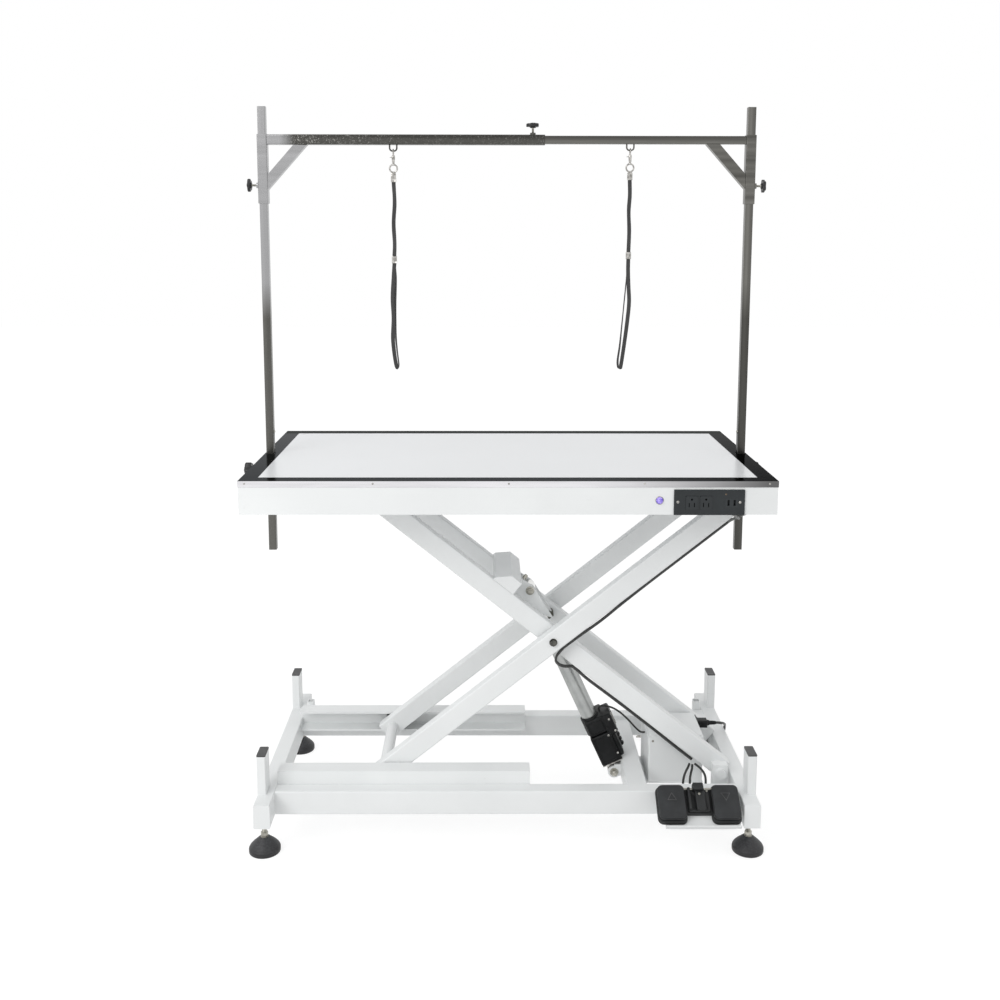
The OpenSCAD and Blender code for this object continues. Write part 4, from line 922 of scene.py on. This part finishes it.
class OBJECT_OT_grooming_control_leads(bpy.types.Operator):
    """The control leads on the arms, behind the pedals, at the motor and under the top"""

    bl_idname = "object.grooming_control_leads"
    bl_label = "Control leads"

    def execute(self, context):
        radius = context.scene.grooming_sizes.control_d / 2

        def lead(name, route, turn=Matrix.Identity(4), thick=radius):
            path = [turn @ p for p in smooth_path(route, LEAD_SPACING)]
            return swept(name, path, round_section(thick), (0, 1, 0))

        def pair(name, route, turn=Matrix.Identity(4)):
            return joined(name, [lead(f"{name}_{i}", route, step @ turn)
                                 for i, step in enumerate((Matrix.Identity(4), shift(*SECOND_LEAD)))])

        def bundle(name, routes):
            return joined(name, [lead(f"{name}_{i}", route) for i, route in enumerate(routes)])

        down = shift(0, 0, LEAD_V)
        for name, route, turn, body, node in (
                ("outer_arm_leads", OUTER_LEAD, ON_OUTER, "outer_arms", "outer_arm_cable"),
                ("inner_arm_leads", INNER_LEAD, ON_INNER, "inner_arms", "inner_arm_cable")):
            settle(pair(name, route, turn @ down), body, "jacket", 60, (node,))
        bend = settle(pair("centre_lead_bend", BEND_LEAD), None, "jacket", 60, ("cable_bend",))
        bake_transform(bend)
        drop = settle(bundle("table_lead_loops", TABLE_LEADS), None, "grey_jacket", 60, ("table_leads",))
        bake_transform(drop)
        tail = settle(bundle("pedal_leads", BASE_LEADS), None, "jacket", 60, ("base_cables",))
        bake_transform(tail)
        motor = settle(lead("motor_lead", MOTOR_LEAD, thick=0.0025), None, "jacket", 60, ("motor_cable",))
        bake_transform(motor)
        return {"FINISHED"}


# The nooses' routes beside their own middle, in millimetres: x, y, z
LEFT_STRAP = [(0, 0, 1651), (2, 0, 1600), (-1, 0, 1550), (1, 0, 1500), (0, 0, 1467)]
LEFT_LOOP = [
    (0, 0, 1449), (-3, 0, 1410), (-6, 1, 1360), (-4, 0, 1310), (-6, -1, 1260), (-3, 0, 1220), (2, 0, 1188),
    (6, 2, 1181), (8, 5, 1190), (4, 6, 1225), (1, 6, 1260), (0, 5, 1300), (0, 5, 1350), (2, 5, 1410),
    (0, 4.6, 1449)]
RIGHT_STRAP = [(0, 0, 1657), (1, 0, 1620), (-1, 0, 1580), (1, 0, 1530), (0, 0, 1478)]
RIGHT_LOOP = [
    (0, 0, 1460), (0, 0, 1430), (2, 0, 1390), (4, 0, 1350), (0, 0, 1300), (-7, 0, 1240), (-13, 0, 1195),
    (-16, 0, 1180), (-20, 3, 1182), (-22, 5, 1200), (-17, 6, 1240), (-12, 6, 1300), (-8, 6, 1350),
    (-4, 5, 1400), (0, 4.6, 1460)]
# How far a strap and a loop twist, in degrees
STRAP_TWIST, LOOP_TWIST = 22, 14
# Snap hook: its bow's radius and wire, and the O-ring's radius, wire and drop below the hook's top
BOW_R, HOOK_WIRE, O_RING_R, O_RING_WIRE, O_RING_DROP = 6, 1.7, 9.5, 2, 43


class OBJECT_OT_grooming_nooses(bpy.types.Operator):
    """Both nooses: snap hook, ring, ferrules and woven strap"""

    bl_idname = "object.grooming_nooses"
    bl_label = "Nooses"

    def execute(self, context):
        sizes = context.scene.grooming_sizes
        section = webbing_section(sizes.strap_w, sizes.strap_t)
        wide, thick = sizes.strap_w / MM, sizes.strap_t / MM
        half_w, half_t, band_w = (wide + 2) / 2, (thick + 3) / 2, (wide + 3) / 2
        bow = [(0, BOW_R * math.sin(math.radians(a)), BOW_R * math.cos(math.radians(a)))
               for a in range(-150, 151, 10)]
        bow = [(0, -0.4, -12), (0, -3.0, -8), *bow, (0, 3.0, -8), (0, 0.4, -12)]
        for side, x, low, strap, loop, ferrules in (
                ("left", -284, 1743, LEFT_STRAP, LEFT_LOOP, (1660, 1458)),
                ("right", 309, 1745.5, RIGHT_STRAP, RIGHT_LOOP, (1666, 1469))):
            body = f"{side}_noose"
            ribbons = []
            for i, (route, amount) in enumerate(((strap, STRAP_TWIST), (loop, LOOP_TWIST))):
                path = [shift(x, 0, 0) @ p for p in smooth_path(route, LEAD_SPACING)]
                ribbons.append(swept(f"{side}_{i}", path, section, RIGHT,
                                     lambda share, a=amount: a * math.sin(math.pi * 3 * share)))
            settle(joined(f"{side}_strap", ribbons), body, "web", 60, (f"strap_{side}",))

            top = low - 15
            metal = [swept("hook", smooth_path(bow, HOOK_SPACING), round_section(HOOK_WIRE * MM, 12), RIGHT),
                     turned("shank", [(2.3, -31.5), (2.6, -27), (3.6, -25), (3.8, -20), (4.4, -16),
                                      (4.2, -12), (3.0, -8)], 20),
                     turned("swivel", [(3.2, -34), (4.4, -32.5), (4.4, -30), (3.2, -28.5)], 20),
                     block("lever", (-9, -1.2, -14.5), (-1, 1.2, -12.7), 0.5)]
            for piece in metal:
                place(piece, shift(x, 0, top - 2))
            o_ring = ring("o_ring", O_RING_R, O_RING_WIRE)
            metal.append(place(o_ring, shift(x, 0, top - O_RING_DROP) @ rotation(90, "X")))
            keeper = block("keeper", (-half_w, -half_t, -4.5), (half_w, half_t, 4.5), 1)
            bands = [place(keeper, shift(x, 0, top - O_RING_DROP - O_RING_R - 6))]
            for z in ferrules:
                band = block("band", (-band_w, -thick - 1, -9), (band_w, thick + 1, 9), 1.2, 3)
                press(band, lambda f: abs(f.normal.y) > 0.9 and f.calc_area() > 4e-5, (1.2, -0.6))
                bands.append(place(band, shift(x, 0, z)))
            settle(joined(f"{side}_snap_hook", metal), body, "nickel", 50, (f"snap_{side}",))
            settle(joined(f"{side}_ferrules", bands), body, "nickel")
        return {"FINISHED"}


# A star knob's lobes, the steps round each, and how deep the hollow between two is, as a share of the radius
LOBES, LOBE_STEPS, HOLLOW = 5, 12, 0.24


def star_knob(name, wide, stem_r, stem_l, head):
    """A five-lobed clamping knob drawn head up, with its stem's end at the origin."""
    level = stem_l + head * 0.22
    knob = primitive("lobes", "circle", vertices=LOBES * LOBE_STEPS, radius=wide * 0.5 * MM, fill_type="NGON",
                     location=(0, 0, level * MM))
    edit(knob, "VERT")
    for phase in range(1, LOBE_STEPS // 2 + 1):
        step = 360 / (LOBES * LOBE_STEPS)
        wanted = [math.radians(step * (LOBE_STEPS * lobe + side * phase)) % math.tau
                  for lobe in range(LOBES) for side in (-1, 1)]
        pick(knob, "verts",
             lambda v: min(abs(math.atan2(v.co.y, v.co.x) % math.tau - w) for w in wanted) < 0.02)
        widen(1 - HOLLOW * (1 - math.cos(math.tau * phase / LOBE_STEPS)) / 2)
    bpy.ops.mesh.select_mode(type="FACE")
    bpy.ops.mesh.select_all(action="SELECT")
    for rise, scale in ((0.08, 1.045), (0.42, 1.0), (0.1, 0.95), (0.06, 0.86), (0.0, 0.72), (-0.05, 0.9),
                        (0.1, 0.85), (0.05, 0.8)):
        level += rise * head
        draw_up(rise * head)
        widen(scale, level)
    leave()
    boss = turned("boss", [(wide * 0.2, stem_l), (wide * 0.3, stem_l + head * 0.3)], 24)
    knob = joined(name + "_head", [knob, boss])
    turns = threads(stem_r, stem_r * 0.86, 1.0, stem_l - 1.5, 1.5, 0.6)
    stem = turned(name + "_head_stem", [(stem_r * 0.8, 0), (stem_r, 0.8), *turns, (stem_r, stem_l + 1)], 18)
    return knob, stem


class OBJECT_OT_grooming_knobs(bpy.types.Operator):
    """Star knobs on the bar and at the tabletop"""

    bl_idname = "object.grooming_knobs"
    bl_label = "Star knobs"

    def execute(self, context):
        for name, spot, direction, wide, stem_r, stem_l, head in (
                ("clamp_knob_left", (-KNOB_X, 0, CLAMP_Z), -RIGHT, 40, 4, 34, 26),
                ("clamp_knob_right", (KNOB_X, 0, CLAMP_Z), RIGHT, 40, 4, 16, 26),
                ("top_knob", (65, 0, 1765.8), UP, 32, 3, 19, 13),
                ("left_knob", (-KNOB_X, 0, SLEEVE_Z), -RIGHT, 32, 3, 19, 12),
                ("right_knob", (KNOB_X, 0, SLEEVE_Z), RIGHT, 32, 3, 19, 12)):
            knob, stem = star_knob(name, wide, stem_r, stem_l, head)
            turn = facing(at(*spot), direction)
            settle(place(knob, turn), name, "knob", 42, (name,))
            settle(place(stem, turn), name, "zinc")
        return {"FINISHED"}


# A foot's stem and locknut, in millimetres
STEM_R, STEM_ROOT, THREAD_LOW, THREAD_TOP, THREAD_PITCH, NUT_R = 6, 5.2, 51.5, 99, 1.9, 9.5


class OBJECT_OT_grooming_feet(bpy.types.Operator):
    """Levelling feet: rubber cone, threaded stem and locknut"""

    bl_idname = "object.grooming_feet"
    bl_label = "Levelling feet"

    def execute(self, context):
        wide = context.scene.grooming_sizes.foot_r / MM
        cone = turned("cone", [(wide - 2.4, 0), (wide - 0.6, 0.8), (wide, 2.4), (wide, 10.5),
                               (wide - 0.6, 12.4), (wide - 1.6, 13.2), (wide - 2.6, 16), (30, 23), (22.2, 30),
                               (17, 34.6), (13.2, 37.8), (10.6, 39.4), (8.8, 39.8)], 56)
        turns = threads(STEM_R, STEM_ROOT, THREAD_LOW, THREAD_TOP, THREAD_PITCH, 0.8)
        metal = joined("foot_metal", [
            plate("cone_nut", hexagon(NUT_R), 39.6, 51.4, 0.9),
            turned("cup", [(9.2, 39), (9.8, 39.3), (9.8, 39.9), (9.2, 40.2)], 28),
            turned("stem", [(STEM_R, 51), *turns, (STEM_R, 118)], 20),
            plate("nut", hexagon(NUT_R), 89, 97, 0.9),
            turned("washer", [(9.6, 97.2), (10.6, 97.5), (10.6, 99.4), (9.6, 99.8)], 28)])
        for end, y in (("front", FOOT_FRONT), ("back", FOOT_BACK)):
            for side, x in (("left", -FOOT_X), ("right", FOOT_X)):
                name = f"foot_{end}_{side}"
                settle(copied(cone, name + "_rubber", shift(x, y, 0)), name, "rubber", 50, (name,))
                settle(copied(metal, name + "_stem", shift(x, y, 0)), name, "zinc")
        for piece in (cone, metal):
            bpy.data.objects.remove(piece)
        return {"FINISHED"}


def arrow_mark(name, x, y, size, point, level):
    """A raised triangle with a sunken middle, in a pedal's own directions; point is 1 up or -1 down."""
    outline = [(x - size, y - point * size * 0.75), (x + size, y - point * size * 0.75),
               (x, y + point * size * 0.9)]
    mark = plate(name, outline[::point], level - 0.4, level + 0.9, 0)
    edit(mark)
    pick(mark, "faces", lambda f: f.normal.z > 0.9)
    bpy.ops.mesh.inset(thickness=1.7 * MM, depth=0)
    draw_up(-1.2)
    leave()
    return mark


class OBJECT_OT_grooming_pedals(bpy.types.Operator):
    """Foot switch: two pads joined by a bridge with a carrying lug, and two tipping covers with arrows"""

    bl_idname = "object.grooming_pedals"
    bl_label = "Foot switch"

    def execute(self, context):
        parts = [plate("bridge", rounded(-38, 25, 38, 89, 4), 0, 12, 1.4, 3),
                 plate("middle", rounded(-27, 28, 27, 86, 5), 11, 20, 2.2, 3),
                 plate("column", rounded(-8, 29, 16, 84, 5), 19, 28.5, 3.2, 3),
                 block("left_wall", (-26, 31, 18), (-19, 85, 29), 2.4, 3),
                 block("lug", (-13, 75, 18), (13, 93, 38), 3.2, 3)]
        for x in (-PEDAL_X, PEDAL_X):
            parts += [plate("pad", centred(x, 49, 36, 46, 14), 0, 7.4, 2.2, 3),
                      plate("pad_rim", centred(x, 49, 34.8, 44.8, 13), 6.8, 12, 1.4)]
        press(parts[1], lambda f: f.normal.z > 0.95 and f.calc_area() > 1e-4, (3, -1.2))
        housing = joined("foot_switch_housing", parts)
        settle(place(housing, ON_PEDAL), "base", "treadle", stands_for=("pedal_base",))

        pin = turned("pin", [(1.9, 0), (2.45, 0.6), (2.45, 118.4), (1.9, 119)], 20)
        place(pin, shift(-59.5, HINGE_Y, HINGE_Z) @ rotation(90, "Y"))
        heads = [screw_head(3.2, 2.2, shift(x, y, z)) for x, y, z in ((2, 68, 28.2), (22.5, 79, 18.8))]
        settle(place(joined("foot_switch_metal", [pin] + heads), ON_PEDAL), "base", "zinc")

        for side, name, point in ((-1, "pedal_up", 1), (1, "pedal_down", -1)):
            x = side * PEDAL_X
            skirt = plate("skirt", centred(x, 50, 33, 42, 12), 16.5, 23.0, 1.0, 3)
            cover = plate("cover", centred(x, 50, 32, 41, 11.5), 22.4, 28.5, 2.8, 4)
            bore = turned("bore", [(2.9, 0), (2.9, 40)], 20)
            cut(skirt, place(bore, shift(side * 44.5 - 20, HINGE_Y, HINGE_Z) @ rotation(90, "Y")))
            tread = joined(name + "_cover", [skirt, cover])
            settle(place(tread, ON_PEDAL), name, "pedal", 42, (name,))
            # The arrows' paler grey is a painted highlight for the light that their raised edges catch
            settle(place(arrow_mark(name + "_arrow", x, 61, 12, point, 28.5), ON_PEDAL), name, "cap")
        return {"FINISHED"}


class OBJECT_OT_grooming_motor(bpy.types.Operator):
    """Gear motor: two-part housing, saddle round the tube, ribbed side, end plate, clevis tab and screws"""

    bl_idname = "object.grooming_motor"
    bl_label = "Gear motor"

    def execute(self, context):
        lower = block("lower_case", (-20.5, -32, 29.6), (35, 51, 111.6), 3.6, 3)
        upper = block("upper_case", (-18, -28, 112.4), (34, 52, 158), 4.2, 3)
        side = block("side_case", (28, -30.5, 99.4), (55, 44, 157), 5.5, 4)
        cheek = block("cheek", (32, -27, 34), (46, 40, 100), 6.0, 4)
        saddle = turned("saddle", [(23.4, 112.4), (24.4, 113.4), (24.4, 161), (23.2, 163), (20.6, 163),
                                   (20.4, 158)], 48)
        ribs = [place(turned("rib", [(11, 0), (14.6, 1.6), (15.2, 4), (14.6, 6.4), (11, 8)], 32),
                      shift(38, 24, 40 + 13.4 * k)) for k in range(8)]
        for shell in (upper, saddle):
            cut(shell, turned("rod_bore", [(11, 147), (11, 170)], 32))
        for shell in (lower, upper):
            press(shell, lambda f: f.normal.y < -0.95 and f.calc_area() > 1e-3,
                  (2.6, 0), (0.6, -0.8), (0.6, 0.8))
        housing = joined("gear_motor_housing", [lower, upper, side, cheek, saddle] + ribs)
        settle(place(housing, ON_ACTUATOR), "actuator", "black", 40, ("gear_housing",))

        web = block("web", (-12, -15, 4), (12, 15, 28), 1.4)
        eye = turned("eye", [(14.6, 0), (16, 1), (16, 29), (14.6, 30)], 40)
        place(eye, shift(0, 15, 0) @ rotation(90, "X"))
        for piece in (web, eye):
            cut(piece, place(turned("bore", [(5.75, -30), (5.75, 30)], 32), rotation(90, "X")))
        end_plate = block("end_plate", (-20, -31.5, 26.4), (35.5, 50, 29.4), 0.6)
        heads = [screw_head(3.2, 1.8, facing(at(x, y, z), FRONT)) for x, y, z in (
            (46.5, -30.4, 143.6), (28, -31.4, 103.6), (50, -30.2, 108), (31, -31.6, 49.5))]
        spring = [place(ring("turn", 5.4, 0.9, 24), shift(53, -8, z)) for z in range(118, 152, 4)]
        metal = joined("gear_motor_metal", [web, eye, end_plate] + heads + spring)
        settle(place(metal, ON_ACTUATOR), "actuator", "nickel")
        return {"FINISHED"}


class OBJECT_OT_grooming_electrics(bpy.types.Operator):
    """Inlet and round socket at the control box, box screws, outlet panel fittings and the power button"""

    bl_idname = "object.grooming_electrics"
    bl_label = "Electric fittings"

    def execute(self, context):
        at_inlet = facing(at(BOX_X, INLET_Y, INLET_Z), RIGHT)
        flange = plate("flange", centred(0, 0, 24, 13, 3), -0.3, 3, 0.8)
        collar = plate("collar", centred(0, 0, 15, 11.4, 4), 2.6, 5.2, 0.8)
        socket = turned("socket", [(11, -0.3), (11, 1.6), (10.4, 2.2), (9, 2.4), (9, 8.4), (8.4, 9), (7, 9),
                                   (6.8, 3)], 32)
        inlet = place(joined("inlet", [flange, collar]), at_inlet)
        socket = place(socket, facing(at(BOX_X, -62, 185), RIGHT))
        settle(joined("box_sockets", [inlet, socket]), "base", "black", stands_for=("box_connectors",))
        heads = [screw_head(3, 1.6, at_inlet @ shift(x, 0, 3)) for x in (-19.5, 19.5)]
        heads += [screw_head(3, 1.6, facing(at(x, -95, 213), FRONT)) for x in (384, 505)]
        settle(joined("box_screws", heads), "base", "zinc")

        edges = [place(plate("edge", rounded(-80, -1, 80, 1, 0.6), 0, 1.0, 0.3, 1),
                       facing(at(OUTLET_X, APRON_Y - 2.6, z), FRONT)) for z in (882.5, 935.5)]
        settle(joined("outlet_panel_edges", edges), "tabletop", "outlet")
        heads = [screw_head(3.6, 1.6, facing(at(x, APRON_Y - 2.8, z), FRONT))
                 for x, z in ((392, 910), (536, 909))]
        settle(joined("outlet_panel_screws", heads), "tabletop", "nickel")
        lamp = turned("outlet_lamp", [(2.2, -1), (2.2, 0.5), (1.6, 1.2), (0.8, 1.5)], 20)
        settle(place(lamp, facing(at(503, APRON_Y - 3, 928), FRONT)), "tabletop", "amber")

        bezel = ring("power_button_bezel", 9.0, 0.8)
        place(bezel, facing(at(BUTTON_X, APRON_Y - 0.4, BUTTON_Z), FRONT))
        settle(bezel, "tabletop", "nickel")
        dome = turned("power_button_dome", [(7.9, -14), (7.95, -13), (7.95, 2.2), (7.4, 3.2), (5.6, 4.0),
                                            (2.6, 4.0)], 36)
        place(dome, facing(at(BUTTON_X, APRON_Y, BUTTON_Z), FRONT))
        settle(dome, "power_button", "lens", 42, ("power_button",))
        return {"FINISHED"}


class OBJECT_OT_grooming_fasteners(bpy.types.Operator):
    """Screws round the border, on the posts and at the lift's folded cross member"""

    bl_idname = "object.grooming_fasteners"
    bl_label = "Fasteners"

    def execute(self, context):
        trim = [screw_head(2.4, 1.2, facing(at(x, side * BORDER_Y, 952.5), (0, side, 0)))
                for x in (-609, -313, 1, 315, 604) for side in (-1, 1)]
        settle(joined("border_screws", trim), "tabletop", "nickel")
        for side, name in ((-1, "left"), (1, "right")):
            head = screw_head(4, 2.4, facing(at(side * 600, 0, 1016), (-side, 0, 0)))
            head.name = f"{name}_post_screw"
            settle(head, f"{name}_post", "zinc")
        for name, (x, z), face, frame_of, body in (
                ("ear_pin_nut", (-106.3, 44.2), -67.9, ON_INNER, "inner_arms"),
                ("clevis_pin_nut", ACT_LOW, -64, Matrix.Identity(4), "base")):
            washer = turned("washer", [(10.4, 0), (11.2, 0.4), (11.2, 1.6), (10.4, 2)], 32)
            nut = plate("nut", hexagon(9), 1.8, 9.6, 0.7)
            bolt_end = turned("bolt_end", [(5.4, 8), (5.4, 10.8), (4.6, 11.6)], 20)
            piece = joined(name, [washer, nut, bolt_end])
            settle(place(piece, frame_of @ facing(at(x, face, z), FRONT)), body, "zinc")
        lock = turned("lock", [(5.2, 0), (5.4, 2), (4.8, 10), (4.2, 12)], 20)
        place(lock, facing(at(-137.5, -60, 58), UP))
        head = place(plate("lock_head", hexagon(6), 0, 4, 0.5), shift(-137.5, -60, 62))
        settle(place(joined("cross_member_fasteners", [lock, head]), ON_INNER), "inner_arms", "zinc")
        return {"FINISHED"}


class VIEW3D_PT_grooming(bpy.types.Panel):
    """Steps and settings of the grooming table"""

    bl_idname = "VIEW3D_PT_grooming"
    bl_label = "Grooming table"
    bl_space_type = "VIEW_3D"
    bl_region_type = "UI"
    bl_category = "Grooming"

    def draw(self, context):
        for group in (context.scene.grooming_looks, context.scene.grooming_sizes):
            for key in group.__annotations__:
                self.layout.prop(group, key)
        for step in STEPS:
            self.layout.operator(step.bl_idname)


STEPS = (OBJECT_OT_grooming_stage, OBJECT_OT_grooming_finishes, OBJECT_OT_grooming_mains_lead,
         OBJECT_OT_grooming_control_leads, OBJECT_OT_grooming_nooses, OBJECT_OT_grooming_knobs,
         OBJECT_OT_grooming_feet, OBJECT_OT_grooming_pedals, OBJECT_OT_grooming_motor,
         OBJECT_OT_grooming_electrics, OBJECT_OT_grooming_fasteners)
CLASSES = (GroomingLooks, GroomingSizes, *STEPS, VIEW3D_PT_grooming)


def register():
    for kind in CLASSES:
        bpy.utils.register_class(kind)
    bpy.types.Scene.grooming_looks = PointerProperty(type=GroomingLooks)
    bpy.types.Scene.grooming_sizes = PointerProperty(type=GroomingSizes)


def unregister():
    del bpy.types.Scene.grooming_sizes
    del bpy.types.Scene.grooming_looks
    for kind in reversed(CLASSES):
        bpy.utils.unregister_class(kind)


def main():
    register()
    for step in STEPS:
        group, name = step.bl_idname.split(".")
        getattr(getattr(bpy.ops, group), name)()


if __name__ == "__main__":
    main()
